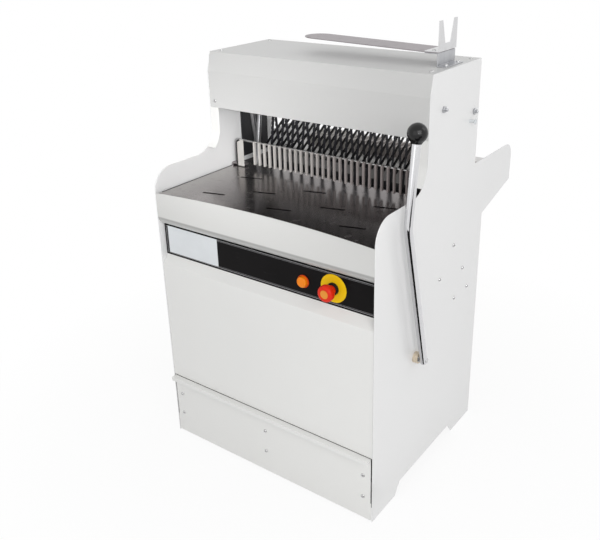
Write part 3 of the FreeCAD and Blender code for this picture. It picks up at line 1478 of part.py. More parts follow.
def sideBolts():
    upper = (size.UpperPlateFrontY, size.UpperPlateLowZ)
    lower = (size.LowerPlateFrontY, size.LowerPlateLowZ)
    heads = []
    for side in (LEFT, RIGHT):
        span = mirrored((halfWidth, halfWidth + size.BoltHeadHeight), side)
        for kind, corner, spots, diameter in (
                ("UpperBolt", upper, UPPER_BOLTS, size.BoltHeadDiameter),
                ("LowerBolt", lower, LOWER_BOLTS, size.SmallHeadDiameter)):
            for number, (y, z) in enumerate(spots):
                name = "%s%s%d" % (kind, SIDES[side], number)
                heads.append(rod(name, "X", span, (corner[0] + y, corner[1] + z), diameter))
    subPart("panel_bolts", heads)
    spot = (upper[0] + HOOK_SPOT[0], upper[1] + HOOK_SPOT[1])
    end = halfWidth + size.HookLength
    peg = rod("HookPeg", "X", (halfWidth, end), spot, size.SmallHeadDiameter)
    knob = rod("HookEnd", "X", (end - size.BoltHeadHeight, end), spot, size.BoltHeadDiameter)
    subPart("cord_hook", [fused("CordHook", [peg, knob])])


for side in (LEFT, RIGHT):
    sidePanel(side)
subPart("column_flanges", [columnFlange(side) for side in (LEFT, RIGHT)])
hood()
feedTable()
tableApron()
controlFront()
backCover()
buttons()
runners = crumbDrawer()
subPart("cross_beams", tableBeams() + baseTubes() + runners)
handLever()
carriageSides()
subPart("carriage_straps", frontComb() + rearPusher())
subPart("rod_brackets", guideRods() + holdDown())
for key in LEAN:
    bladeFrame(key)
guides = [guideBeams(key) for key in LEAN]
subPart("guide_beams", [beams for beams, bushes in guides])
subPart("guide_bushes", [bushes for beams, bushes in guides])
endPlates()
rocker()
connectingRods()
crank()
drive()
subPart("hood_screws", hoodScrews() + spoonHolder())
sideBolts()

document.recompute()
for thing in document.Objects:
    if "Invalid" in thing.State or "Error" in thing.State:
        raise RuntimeError("%s failed: %s" % (thing.Name, thing.State))
os.makedirs("parts", exist_ok=True)
for part in subParts:
    shape = part.Shape
    if shape.isNull() or not shape.isValid() or not shape.Solids:
        raise RuntimeError("%s has no sound shape" % part.Label)
for part in subParts:
    shape = part.Shape
    shape.exportStep("parts/%s.step" % part.Label)
    bounds = shape.BoundBox
    print("%-20s solids %2d  volume %10.0f  x %7.1f %7.1f  y %7.1f %7.1f  z %7.1f %7.1f" % (
        part.Label, len(shape.Solids), shape.Volume, bounds.XMin, bounds.XMax,
        bounds.YMin, bounds.YMax, bounds.ZMin, bounds.ZMax))
print(len(subParts), "sub-parts")
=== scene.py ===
import json
import math

import bmesh
import bpy
from mathutils import Matrix, Vector


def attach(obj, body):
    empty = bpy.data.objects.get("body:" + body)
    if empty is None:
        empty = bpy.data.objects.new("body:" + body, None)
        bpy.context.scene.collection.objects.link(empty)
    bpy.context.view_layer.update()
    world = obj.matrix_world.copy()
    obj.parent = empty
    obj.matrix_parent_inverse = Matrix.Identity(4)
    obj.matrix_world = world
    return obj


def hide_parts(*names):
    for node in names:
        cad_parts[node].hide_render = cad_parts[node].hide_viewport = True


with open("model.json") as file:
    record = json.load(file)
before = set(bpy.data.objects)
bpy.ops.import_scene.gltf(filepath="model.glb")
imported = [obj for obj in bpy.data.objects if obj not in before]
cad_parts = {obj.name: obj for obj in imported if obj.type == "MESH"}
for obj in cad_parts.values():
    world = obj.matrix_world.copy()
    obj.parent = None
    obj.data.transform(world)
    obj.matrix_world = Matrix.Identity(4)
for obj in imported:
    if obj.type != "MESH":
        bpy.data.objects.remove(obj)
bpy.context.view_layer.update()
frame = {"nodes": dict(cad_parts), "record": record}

slotOf = {part["node"]: part["material_slot"] for part in frame["record"]["subparts"]}
bodyOf = {node: body for body, nodes in frame["record"]["behaviour"]["bodies"].items()
          for node in nodes}
print("frame loaded:", len(slotOf), "nodes")


rowShift = Vector((21.25, 355.5, 0.0))  # machine axes in mm, less this, are the row frame


def mm(x, y, z):
    return (Vector((x, y, z)) - rowShift) / 1000


def linear(red, green, blue):
    parts = [value / 255 for value in (red, green, blue)]
    return tuple(v / 12.92 if v <= 0.04045 else ((v + 0.055) / 1.055) ** 2.4 for v in parts) + (1.0,)


class Wire:
    def __init__(self, shade, socket):
        self.shade = shade
        self.socket = socket

    def maths(self, operation, other=None, flipped=False):
        first, second = (other, self) if flipped else (self, other)
        inputs = {0: first} if second is None else {0: first, 1: second}
        return self.shade.node("ShaderNodeMath", {"operation": operation}, inputs)

    def __add__(self, other):
        return self.maths("ADD", other)

    def __sub__(self, other):
        return self.maths("SUBTRACT", other)

    def __mul__(self, other):
        return self.maths("MULTIPLY", other)

    def __truediv__(self, other):
        return self.maths("DIVIDE", other)

    def __pow__(self, other):
        return self.maths("POWER", other)

    def __gt__(self, other):
        return self.maths("GREATER_THAN", other)

    def __lt__(self, other):
        return self.maths("LESS_THAN", other)

    def __rsub__(self, other):
        return self.maths("SUBTRACT", other, True)

    def __rtruediv__(self, other):
        return self.maths("DIVIDE", other, True)

    def __abs__(self):
        return self.maths("ABSOLUTE")

    __radd__ = __add__
    __rmul__ = __mul__

    def least(self, other):
        return self.maths("MINIMUM", other)

    def most(self, other):
        return self.maths("MAXIMUM", other)

    def held(self):
        return self.least(1.0).most(0.0)  # between 0 and 1


class Shade:
    def __init__(self, name, owner=None):
        self.material = owner or bpy.data.materials.new(name)
        self.material.use_nodes = True
        self.tree = self.material.node_tree
        self.surface = self.tree.nodes.get("Principled BSDF") or self.tree.nodes["Background"]
        self.place = self.node("ShaderNodeTexCoord", output="Object")
        self.x, self.y, self.z = [self.node("ShaderNodeSeparateXYZ", None, {0: self.place}, axis)
                                  for axis in "XYZ"]

    def node(self, kind, settings=None, inputs=None, output=0):
        made = self.tree.nodes.new(kind)
        for key, value in (settings or {}).items():
            setattr(made, key, value)
        for key, value in (inputs or {}).items():
            if isinstance(value, Wire):
                self.tree.links.new(value.socket, made.inputs[key])
            else:
                made.inputs[key].default_value = value
        return Wire(self, made.outputs[output])

    def noise(self, scale, detail=2.0, stretch=(1.0, 1.0, 1.0)):
        place = self.node("ShaderNodeMapping", None, {"Vector": self.place, "Scale": stretch})
        return self.node("ShaderNodeTexNoise", None,
                         {"Vector": place, "Scale": scale, "Detail": detail})

    def speckle(self, scale):
        return self.node("ShaderNodeTexVoronoi", None, {"Vector": self.place, "Scale": scale})

    def blend(self, share, first, second):
        return self.node("ShaderNodeMix", {"data_type": "RGBA", "clamp_factor": True},
                         {0: share, 6: first, 7: second}, 2)

    def bump(self, height, strength, distance):
        return self.node("ShaderNodeBump", None,
                         {"Height": height, "Strength": strength, "Distance": distance})

    def seenDirectly(self):
        # 1 for what the camera sees, in a mirror or through glass as well.
        rays = [self.node("ShaderNodeLightPath", output=label)
                for label in ("Is Camera Ray", "Is Glossy Ray", "Is Transmission Ray")]
        return rays[0].most(rays[1]).most(rays[2])

    def paint(self, **values):
        for key, value in values.items():
            socket = self.surface.inputs[key.replace("_", " ")]
            if isinstance(value, Wire):
                self.tree.links.new(value.socket, socket)
            else:
                socket.default_value = value
        return self.material


def scaled(colour, share):
    return tuple(value * share for value in colour[:3]) + (1.0,)


# Stove enamel: faint cloudiness, orange peel, darker and rougher towards the floor and a few rubbed
# marks.
def enamel(name, colour, gloss, dusty, hem=None, inside=None):
    shade = Shade(name)
    cloud = shade.noise(3.1, 4.0)
    rubbed = shade.noise(26.0, 5.0, (1.0, 1.0, 2.6))
    peel = shade.noise(620.0, 1.0)
    # Darker and rougher towards the floor.
    low = (1.0 - shade.z / 0.16).held() * dusty
    floorwardGrey = (low * (0.35 + shade.noise(14.0, 5.0) * 0.9)).held()
    tint = shade.blend((cloud - 0.3) * 1.2, scaled(colour, 0.965), colour)
    marks = ((rubbed - 0.66) * 3.0).held()
    tint = shade.blend(marks * 0.16, tint, scaled(colour, 0.72))
    tint = shade.blend(floorwardGrey * 0.3, tint, linear(150, 146, 138))
    # Painted shade: a darker band along the apron's lower hem, where it turns in and faces down.
    if hem:
        low, top, share = hem
        hemShade = ((top - shade.z) / (0.2 * (top - low))).held()
        hemShade = hemShade * ((shade.z - low) / (0.85 * (top - low))).held() * (0.92 + cloud * 0.16)
        tint = shade.blend(hemShade * share, tint, scaled(colour, 0.2))
    if inside:
        # Painted shade on the faces inside the cabinet, under the table.
        half, front, rear, top = inside
        shadedInside = (abs(shade.x + 0.02125) < half) * (shade.z < top)
        shadedInside = shadedInside * (shade.y > front) * (shade.y < rear)
        tint = shade.blend(shadedInside * (0.85 + cloud * 0.15), tint, linear(50, 48, 48))
    return shade.paint(Base_Color=tint, Roughness=gloss + cloud * 0.1 + marks * 0.12 + floorwardGrey * 0.2,
                       Coat_Weight=0.25 - marks * 0.2, Coat_Roughness=0.12,
                       Normal=shade.bump(peel, 0.10, 0.0002))


# Sheet or turned metal with brush lines along one axis.
def metal(name, colour, rough, brushed=(0.02, 1.0, 1.0), depth=0.05, soiled=0.3, metallic=1.0,
          bare=None):
    shade = Shade(name)
    lines = shade.noise(900.0, 2.0, brushed)
    broad = shade.noise(90.0, 2.0, brushed)
    cloud = shade.noise(6.0, 4.0)
    wear = ((shade.noise(38.0, 6.0) - 0.56) * 4.0).held()
    tint = shade.blend(lines * 0.5 + broad * 0.5, scaled(colour, 0.86), scaled(colour, 1.1))
    tint = shade.blend(wear * soiled, tint, scaled(colour, 0.6))
    if bare:
        # Painted sheen: lighter towards one end.
        axis, start, reach, bright = bare
        tint = shade.blend(((getattr(shade, axis) - start) / reach).held() ** 1.4, tint, bright)
    return shade.paint(Base_Color=tint, Metallic=metallic - wear * 0.15,
                       Roughness=rough + (lines - 0.5) * 0.12 + cloud * 0.06 + wear * 0.12,
                       Normal=shade.bump(lines, depth, 0.0004))


# Moulded plastic, film or rubber: fine grain, rubbed lighter in places.
def plastic(name, colour, rough, grain=0.04, coat=0.0, rubbed=0.12, shine=0.5, handled=None):
    shade = Shade(name)
    fine = shade.noise(1400.0, 2.0)
    cloud = shade.noise(22.0, 4.0)
    worn = ((shade.noise(60.0, 5.0) - 0.55) * 3.0).held()
    light = tuple(min(value * 1.35 + 0.012, 1.0) for value in colour[:3]) + (1.0,)
    tint = shade.blend((cloud - 0.3) * 1.4, scaled(colour, 0.9), colour)
    tint = shade.blend(worn * rubbed, tint, light)
    if handled:
        # Painted shade: darker and browner towards the right end.
        start, reach, endShadeTint = handled
        tint = shade.blend(((shade.x - start) / reach).held() * (0.8 + worn * 0.2), tint, endShadeTint)
    return shade.paint(Base_Color=tint, Roughness=rough + cloud * 0.1 + worn * 0.08,
                       Coat_Weight=coat, Coat_Roughness=0.08, Specular_IOR_Level=shine,
                       Normal=shade.bump(fine, grain, 0.0003))


# Rough cast or hammered paint for the hidden machinery.
def casting(name, colour, rough, metallic=0.0, oily=0.4):
    shade = Shade(name)
    pitted = shade.speckle(420.0)
    cloud = shade.noise(18.0, 5.0)
    oil = ((shade.noise(30.0, 4.0) - 0.5) * 4.0).held()
    tint = shade.blend(cloud, scaled(colour, 0.8), scaled(colour, 1.15))
    tint = shade.blend(oil * oily, tint, scaled(colour, 0.35))
    return shade.paint(Base_Color=tint, Metallic=metallic, Roughness=rough - oil * 0.2,
                       Normal=shade.bump(pitted, 0.25, 0.0006))


stripFilm = {
    "halfWidth": 0.328, "low": 0.559, "top": 0.645, "border": 0.0052, "line": 0.0011,
    "secondLine": 0.0030, "middle": -0.02125,
}


# Black film with two thin grey lines that run round its border.
def controlFilm(name):
    film = stripFilm
    shade = Shade(name)
    sideways = film["halfWidth"] - abs(shade.x - film["middle"])
    upright = (shade.z - film["low"]).least(film["top"] - shade.z)
    inwards = sideways.least(upright)
    frameLine = (abs(inwards - film["border"]) < film["line"] * 0.5)
    innerLine = (abs(inwards - film["border"] - film["secondLine"]) < film["line"] * 0.35)
    cloud = shade.noise(18.0, 4.0)
    scuffs = ((shade.noise(240.0, 4.0, (0.15, 1.0, 1.0)) - 0.64) * 5.0).held()
    tint = shade.blend(cloud, linear(13, 12, 13), linear(22, 20, 21))
    tint = shade.blend(scuffs * 0.12, tint, linear(90, 90, 92))
    tint = shade.blend(frameLine * 0.85 + innerLine * 0.55, tint, linear(176, 176, 178))
    return shade.paint(Base_Color=tint, Roughness=0.3 + cloud * 0.1 + scuffs * 0.1,
                       Specular_IOR_Level=0.06,
                       Normal=shade.bump(shade.noise(1100.0, 1.0), 0.03, 0.0002))


finishes = {
    "enamel": enamel("enamel", linear(236, 236, 234), 0.34, 0.15),
    # Feed table: painted sheen, lighter towards its left end.
    "table_steel": metal("tableSteel", (0.16, 0.143, 0.142, 1.0), 0.19, (0.02, 1.0, 1.0), 0.10, 0.2,
                         bare=("x", -0.10, -0.24, (0.47, 0.45, 0.44, 1.0))),
    "stainless": metal("stainless", linear(176, 170, 172), 0.33, (0.03, 1.0, 1.0), 0.06),
    "bright_steel": metal("brightSteel", linear(205, 205, 205), 0.22, (1.0, 1.0, 1.0), 0.03),
    # Comb plastic: painted shade, darker and browner towards the right end.
    "comb_white": plastic("combWhite", linear(206, 203, 199), 0.42, 0.03,
                          handled=(-0.22, 0.34, linear(142, 130, 129))),
    "black_plastic": plastic("blackPlastic", linear(30, 30, 31), 0.45, 0.08, shine=0.2),
    "strip_black": controlFilm("controlFilm"),
    "label_white": plastic("labelWhite", linear(226, 230, 233), 0.3, 0.02),
    "orange_lens": plastic("orangeLens", linear(252, 140, 14), 0.25, 0.02, 0.1, shine=0.2),
    "yellow_plate": plastic("yellowPlate", linear(250, 205, 18), 0.4, 0.02, shine=0.12),
    "red_button": plastic("redButton", linear(232, 44, 16), 0.35, 0.03, 0.05, shine=0.2),
    "black_knob": plastic("blackKnob", linear(14, 14, 15), 0.16, 0.02, 0.12, 0.03, 0.3),
    "brass_bush": metal("creamBush", linear(214, 200, 178), 0.4, (1.0, 1.0, 1.0), 0.04, 0.3, 0.25),
    "chrome_tube": metal("chromeTube", linear(214, 214, 216), 0.09, (1.0, 1.0, 0.05), 0.02, 0.1),
    "bush_plastic": plastic("bushPlastic", linear(205, 203, 192), 0.4),
    "strip_black_steel": plastic("stripBlack", linear(27, 27, 29), 0.34, 0.05, shine=0.25),
    "frame_steel": metal("frameSteel", linear(150, 150, 152), 0.3, (1.0, 1.0, 0.05), 0.05),
    "blade_steel": metal("bladeSteel", linear(74, 74, 80), 0.3, (1.0, 1.0, 0.04), 0.05, 0.3, 0.6),
    "grey_paint": casting("greyPaint", linear(60, 60, 63), 0.45, 0.0, 0.3),
    "cast_grey": casting("castGrey", linear(120, 121, 122), 0.42, 0.7),
    "motor_paint": casting("motorPaint", linear(52, 70, 92), 0.4, 0.0, 0.3),
    "belt_rubber": plastic("beltRubber", linear(28, 28, 28), 0.7, 0.2),
}
extraFinishes = {
    "yellowDot": plastic("yellowDot", linear(238, 150, 34), 0.34, 0.02),
    "sideDark": casting("guardDark", linear(38, 38, 41), 0.42, 0.2, 0.3),
    # Rear tray: its dark colour is painted shade, and the lighter band towards its rear edge is painted
    # light.
    "trayDark": metal("trayDark", (0.05, 0.044, 0.042, 1.0), 0.5, (0.02, 1.0, 1.0), 0.1, 0.3, 0.35,
                      bare=("y", 0.13, 0.06, (0.8, 0.79, 0.78, 1.0))),
    "spoonSteel": metal("spoonSteel", linear(152, 146, 149), 0.36, (0.03, 1.0, 1.0), 0.06),
    "forkSteel": metal("forkSteel", linear(216, 216, 217), 0.36, (1.0, 1.0, 0.05), 0.05),
    "bracketSteel": metal("bracketSteel", linear(186, 187, 190), 0.3, (1.0, 1.0, 0.05), 0.05),
    "whitePeg": plastic("whitePeg", linear(214, 218, 220), 0.35, 0.03),
    # Hood enamel: a darker, shaded copy of the white enamel.
    "shellEnamel": enamel("shellEnamel", linear(206, 206, 205), 0.36, 0.0),
    "sideEnamel": enamel("sideEnamel", linear(232, 232, 232), 0.34, 0.15, None,
                         (0.3284, -0.333, 0.4, 0.7315)),
    "backEnamel": enamel("backEnamel", linear(236, 236, 234), 0.34, 0.15, None,
                         (0.34, -0.333, 0.1935, 0.7305)),
    "fasciaEnamel": enamel("fasciaEnamel", linear(236, 236, 234), 0.34, 0.1, None,
                           (0.34, -0.334, 0.0, 0.7305)),
    "orangeRim": plastic("orangeRim", linear(236, 84, 20), 0.3, 0.02, 0.1, shine=0.2),
    # Apron enamel: a darker, shaded copy of the white enamel, with painted shade along its lower hem.
    "hemEnamel": enamel("hemEnamel", linear(213, 213, 211), 0.34, 0.0, (0.6495, 0.6715, 0.62)),
}
print("finishes made:", len(finishes) + len(extraFinishes))


def camel(node):
    first, *rest = node.split("_")
    return first + "".join(word.capitalize() for word in rest)


def newPiece(name, bm):
    mesh = bpy.data.meshes.new(name)
    bmesh.ops.recalc_face_normals(bm, faces=bm.faces)
    bm.to_mesh(mesh)
    bm.free()
    piece = bpy.data.objects.new(name, mesh)
    bpy.context.scene.collection.objects.link(piece)
    return piece


def settled(piece):
    # Turns what the modifiers give into a plain mesh and takes the modifiers off.
    bpy.context.view_layer.update()
    shape = piece.evaluated_get(bpy.context.evaluated_depsgraph_get())
    mesh = bpy.data.meshes.new_from_object(shape)
    piece.modifiers.clear()
    piece.data = mesh
    mesh.name = piece.name
    return piece


def softened(piece, width, segments=2, angle=30.0, smooth=40.0):
    mesh = piece.data
    mesh.polygons.foreach_set("use_smooth", [True] * len(mesh.polygons))
    mesh.set_sharp_from_angle(angle=math.radians(smooth))
    if width:
        bevel = piece.modifiers.new("edges", "BEVEL")
        bevel.width = width / 1000
        bevel.segments = segments
        bevel.limit_method = "ANGLE"
        bevel.angle_limit = math.radians(angle)
        bevel.miter_outer = "MITER_ARC"
    weighted = piece.modifiers.new("normals", "WEIGHTED_NORMAL")
    weighted.keep_sharp = True
    return settled(piece)


def finished(piece, finish, body, stands=()):
    material = finishes.get(finish) or extraFinishes[finish]
    piece.data.materials.clear()
    piece.data.materials.append(material)
    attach(piece, body)
    if stands:
        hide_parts(*stands)
    return piece


def revolved(name, profile, centre, axis, sides=48, rim=None):
    # profile is (radius, height) in mm along the axis, from centre; rim changes the radius
    # with the angle where the shape isn't round.
    bm = bmesh.new()
    turn = Vector((0, 0, 1)).rotation_difference(Vector(axis)).to_matrix()
    rings = []
    for index, (radius, height) in enumerate(profile):
        if radius == 0:
            rings.append([bm.verts.new(centre + turn @ Vector((0, 0, height)) / 1000)])
            continue
        ring = []
        for side in range(sides):
            angle = 2 * math.pi * side / sides
            reach = radius * (rim(index, angle) if rim else 1.0)
            spot = Vector((reach * math.cos(angle), reach * math.sin(angle), height)) / 1000
            ring.append(bm.verts.new(centre + turn @ spot))
        rings.append(ring)
    for low, high in zip(rings, rings[1:]):
        for side in range(sides):
            following = (side + 1) % sides
            corners = [low[side % len(low)], low[following % len(low)],
                       high[following % len(high)], high[side % len(high)]]
            bm.faces.new(list(dict.fromkeys(corners)))
    for ring in (rings[0], rings[-1]):
        if len(ring) > 2:
            bm.faces.new(ring)
    return newPiece(name, bm)


def joinedUp(name, pieces):
    bm = bmesh.new()
    for piece in pieces:
        bm.from_mesh(piece.data)
        bpy.data.objects.remove(piece)
    return newPiece(name, bm)


def plate(name, outline, plane, near, far):
    # A flat piece: outline in the plane's two axes, in mm of the machine, from near to far.
    places = {"YZ": lambda a, b, depth: mm(depth, a, b), "XZ": lambda a, b, depth: mm(a, depth, b),
              "XY": lambda a, b, depth: mm(a, b, depth)}[plane]
    bm = bmesh.new()
    walls = [[bm.verts.new(places(a, b, depth)) for a, b in outline] for depth in (near, far)]
    bm.faces.new(walls[0])
    bm.faces.new(walls[1])
    for index in range(len(outline)):
        following = (index + 1) % len(outline)
        bm.faces.new([walls[0][index], walls[0][following], walls[1][following], walls[1][index]])
    return newPiece(name, bm)


def cornerArc(centre, radius, start, end, steps):
    points = []
    for step in range(steps + 1):
        angle = math.radians(start + (end - start) * step / steps)
        points.append((centre[0] + radius * math.cos(angle), centre[1] + radius * math.sin(angle)))
    return points


def nodeTree(name, sockets):
    tree = bpy.data.node_groups.new(name, "GeometryNodeTree")
    kinds = {"geometry": "NodeSocketGeometry", "object": "NodeSocketObject",
             "count": "NodeSocketInt", "size": "NodeSocketFloat", "vector": "NodeSocketVector",
             "finish": "NodeSocketMaterial"}
    for label, kind in sockets.items():
        tree.interface.new_socket(name=label, in_out="INPUT", socket_type=kinds[kind])
    tree.interface.new_socket(name="Result", in_out="OUTPUT", socket_type=kinds["geometry"])
    start = tree.nodes.new("NodeGroupInput")

    def step(kind, settings=None, inputs=None):
        made = tree.nodes.new(kind)
        for key, value in (settings or {}).items():
            setattr(made, key, value)
        for key, value in (inputs or {}).items():
            if isinstance(value, str) and value in sockets:
                value = start.outputs[value]
            if isinstance(value, bpy.types.NodeSocket):
                tree.links.new(value, made.inputs[key])
            else:
                made.inputs[key].default_value = value
        return made

    def close(geometry):
        real = step("GeometryNodeRealizeInstances", None, {"Geometry": geometry})
        painted = step("GeometryNodeSetMaterial", None,
                       {"Geometry": real.outputs[0], "Material": "Finish"})
        end = tree.nodes.new("NodeGroupOutput")
        tree.links.new(painted.outputs[0], end.inputs[0])
        return tree

    return step, close


def rowTree():
    step, close = nodeTree("pieceRow", {"Piece": "object", "Count": "count", "Pitch": "vector",
                                        "Sway": "vector", "Seed": "count", "Finish": "finish"})
    line = step("GeometryNodeMeshLine", {"mode": "OFFSET", "count_mode": "TOTAL"},
                {"Count": "Count", "Offset": "Pitch"})
    source = step("GeometryNodeObjectInfo", {"transform_space": "ORIGINAL"}, {"Object": "Piece"})
    against = step("ShaderNodeVectorMath", {"operation": "SCALE"}, {0: "Sway", "Scale": -1.0})
    random = step("FunctionNodeRandomValue", {"data_type": "FLOAT_VECTOR"},
                  {"Min": against.outputs[0], "Max": "Sway", "Seed": "Seed"})
    placed = step("GeometryNodeInstanceOnPoints", None,
                  {"Points": line.outputs[0], "Instance": source.outputs["Geometry"],
                   "Rotation": random.outputs[0]})
    return close(placed.outputs[0])


def spotTree():
    step, close = nodeTree("fastenersOnSpots", {"Spots": "geometry", "Head": "object",
                                                "Seed": "count", "Finish": "finish"})
    source = step("GeometryNodeObjectInfo", {"transform_space": "ORIGINAL"}, {"Object": "Head"})
    facing = step("GeometryNodeInputNamedAttribute", {"data_type": "FLOAT_VECTOR"},
                  {"Name": "facing"})
    aimed = step("FunctionNodeAlignRotationToVector", {"axis": "Z"},
                 {"Vector": facing.outputs["Attribute"]})
    spin = step("FunctionNodeRandomValue", {"data_type": "FLOAT_VECTOR"},
                {"Min": (0.0, 0.0, 0.0), "Max": (0.0, 0.0, math.tau), "Seed": "Seed"})
    turned = step("FunctionNodeRotateRotation", {"rotation_space": "LOCAL"},
                  {"Rotation": aimed.outputs[0], "Rotate By": spin.outputs[0]})
    placed = step("GeometryNodeInstanceOnPoints", None,
                  {"Points": "Spots", "Instance": source.outputs["Geometry"],
                   "Rotation": turned.outputs[0]})
    return close(placed.outputs[0])


rowNodes = rowTree()
spotNodes = spotTree()


def grown(carrier, tree, **values):
    modifier = carrier.modifiers.new("grown", "NODES")
    modifier.node_group = tree
    names = {item.name: item.identifier for item in tree.interface.items_tree
             if item.in_out == "INPUT"}
    for label, value in values.items():
        modifier[names[label]] = value
    return settled(carrier)


def row(name, piece, count, pitch, sway=(0.0, 0.0, 0.0), seed=1, finish=None):
    # piece stands at its first place; its mesh is moved to the origin for the row.
    low = Vector(min(vertex.co[axis] for vertex in piece.data.vertices) for axis in range(3))
    high = Vector(max(vertex.co[axis] for vertex in piece.data.vertices) for axis in range(3))
    middle = (low + high) / 2
    piece.data.transform(Matrix.Translation(-middle))
    carrier = newPiece(name, bmesh.new())
    grown(carrier, rowNodes, Piece=piece, Count=count, Pitch=tuple(value / 1000 for value in pitch),
          Sway=tuple(math.radians(value) for value in sway), Seed=seed, Finish=finish)
    carrier.data.transform(Matrix.Translation(middle))
    bpy.data.objects.remove(piece)
    return carrier


def fasteners(name, head, spots, seed, finish):
    # spots is a list of (place in the row frame, facing direction).
    mesh = bpy.data.meshes.new(name)
    mesh.from_pydata([place for place, _ in spots], [], [])
    facing = mesh.attributes.new("facing", "FLOAT_VECTOR", "POINT")
    for index, (_, direction) in enumerate(spots):
        facing.data[index].vector = direction
    carrier = bpy.data.objects.new(name, mesh)
    bpy.context.scene.collection.objects.link(carrier)
    grown(carrier, spotNodes, Head=head, Seed=seed, Finish=finish)
    return carrier


def dropped(*pieces):
    for piece in pieces:
        bpy.data.objects.remove(piece)


edgeWidths = {  # bevel in mm, by node; the others take the usual one
    "side_panel_left": 0.8, "side_panel_right": 0.8, "hood_shell": 0.9, "table_apron": 0.8,
    "front_panel": 0.8, "drawer_front": 0.8, "back_cover": 0.8, "column_flanges": 0.7,
    "control_strip": 0.2, "label_plate": 0.15, "feed_table": 0.1, "fork_plate": 0.5,
    "bag_spoon": 0.5, "spoon_bracket": 0.6, "drive_belt": 0.6, "guide_rods": 0.5,
    "usual": 0.5,
}
handMade = {
    "comb_fingers", "pusher_fingers", "hold_down_strips", "frame_a_blades", "frame_b_blades",
    "hood_screws", "drawer_screws", "panel_bolts", "cord_hook", "lever_tube", "lever_knob",
    "estop_mushroom", "estop_plate", "estop_collar", "start_button", "button_bezel", "comb_frame",
}
finishOf = {"end_plates": "sideDark", "table_apron": "hemEnamel", "rear_tray": "trayDark",
            "hood_shell": "shellEnamel", "side_panel_left": "sideEnamel",
            "side_panel_right": "sideEnamel", "back_cover": "backEnamel",
            "control_fascia": "fasciaEnamel", "bag_spoon": "spoonSteel",
            "fork_plate": "forkSteel", "spoon_bracket": "bracketSteel"}


def dressed(node):
    bm = bmesh.new()
    bm.from_mesh(frame["nodes"][node].data)
    bmesh.ops.remove_doubles(bm, verts=bm.verts, dist=1e-6)
    bmesh.ops.dissolve_limit(bm, angle_limit=math.radians(0.4), verts=bm.verts, edges=bm.edges)
    mesh = bpy.data.meshes.new(camel(node))
    bm.to_mesh(mesh)
    bm.free()
    piece = bpy.data.objects.new(camel(node), mesh)
    bpy.context.scene.collection.objects.link(piece)
    softened(piece, edgeWidths.get(node, edgeWidths["usual"]))
    return finished(piece, finishOf.get(node, slotOf[node]), bodyOf[node], [node])


for node in sorted(slotOf):
    if node not in handMade:
        dressed(node)
print("sheet metal and machinery dressed")


comb = {
    "count": 28, "pitch": 17.8, "width": 5.0, "front": 290.0, "depth": 8.0, "low": 747.0,
    "top": 813.0, "round": 4.0, "pusherFront": 555.0, "pusherRear": 650.0, "pusherLow": 742.0,
    "pusherTop": 774.0, "edge": 0.8, "rodZ": 809.0, "rodRadius": 3.0, "legInner": 278.0,
    "legOuter": 304.0, "legRound": 14.0, "legLow": 736.0, "foldLow": 742.0, "legWall": 2.0,
    "trim": 4.0, "trimProud": 0.6, "trimSunk": 1.0, "rodEnd": 0.8,
}
firstX = -(comb["count"] - 1) * comb["pitch"] / 2


def fingerRow(name, node, front, rear, low, top):
    radius = comb["round"]
    outline = [(rear, low), (rear, top)]
    outline += cornerArc((front + radius, top - radius), radius, 90, 180, 6)
    outline += [(front, low)]
    half = comb["width"] / 2
    finger = plate(name + "Finger", outline, "YZ", firstX - half, firstX + half)
    softened(finger, comb["edge"], 2, 40.0)
    fingers = row(name, finger, comb["count"], (comb["pitch"], 0, 0),
                  (0.0, 0.0, 0.4), 4, finishes[slotOf[node]])
    return finished(fingers, slotOf[node], bodyOf[node], [node])


fingerRow("combFingers", "comb_fingers", comb["front"], comb["front"] + comb["depth"],
          comb["low"], comb["top"])
fingerRow("pusherFingers", "pusher_fingers", comb["pusherFront"], comb["pusherRear"],
          comb["pusherLow"], comb["pusherTop"])


def legEdge(inset):
    # From the inner top corner round the outer one and down, inset from the leg's outer edge.
    radius = comb["legRound"] - inset
    high = comb["top"] - inset
    reach = comb["legOuter"] - inset
    bend = cornerArc((reach - radius, high - radius), radius, 90, 0, 8)
    return [(comb["legInner"], high)] + bend + [(reach, comb["legLow"])]


def combLegs():
    # Face plate with its return; a black strip along the outer edge and the rounded corner is a painted
    # shadow line.
    rodY = comb["front"] + comb["depth"] + comb["rodRadius"]
    legs = []
    shadowStrips = []
    for direction in (-1, 1):
        face = legEdge(0.0) + [(comb["legInner"], comb["legLow"])]
        legs.append(plate("leg", [(direction * x, z) for x, z in face], "XZ", comb["front"],
                          comb["front"] + comb["legWall"]))
        fold = comb["legOuter"] - comb["legWall"]
        high = comb["top"] - comb["legRound"] + comb["legWall"]
        legs.append(plate("fold", [(direction * fold, comb["foldLow"]), (direction * fold, high),
                                   (direction * comb["legOuter"], high),
                                   (direction * comb["legOuter"], comb["foldLow"])],
                          "XZ", comb["front"] + comb["legWall"], rodY + comb["rodRadius"]))
        band = legEdge(0.0)[1:]
        band += reversed(legEdge(comb["trim"])[1:])
        shadowStrips.append(plate("trim", [(direction * x, z) for x, z in band], "XZ",
                           comb["front"] - comb["trimProud"], comb["front"] + comb["trimSunk"]))
    finished(softened(joinedUp("combFrame", legs), 0.4), "comb_white", "carriage",
             ["comb_frame"])
    finished(softened(joinedUp("combTrim", shadowStrips), 0.3), "black_plastic", "carriage")
    reach = comb["legOuter"] - comb["legWall"]
    radius, end = comb["rodRadius"], comb["rodEnd"]
    profile = [(radius - end, 0.0), (radius, end), (radius, 2 * reach - end),
               (radius - end, 2 * reach)]
    combRod = revolved("combRod", profile, mm(-reach, rodY, comb["rodZ"]), (1, 0, 0), 24)
    finished(softened(combRod, 0), "bright_steel", "carriage")


combLegs()

strips = {
    "rodY": 470.0, "rodZ": 875.0, "tipY": 332.0, "tipZ": 785.0, "width": 7.0, "thick": 3.0,
    "rodRadius": 6.0, "edge": 0.5, "tipRound": 3.0,
}


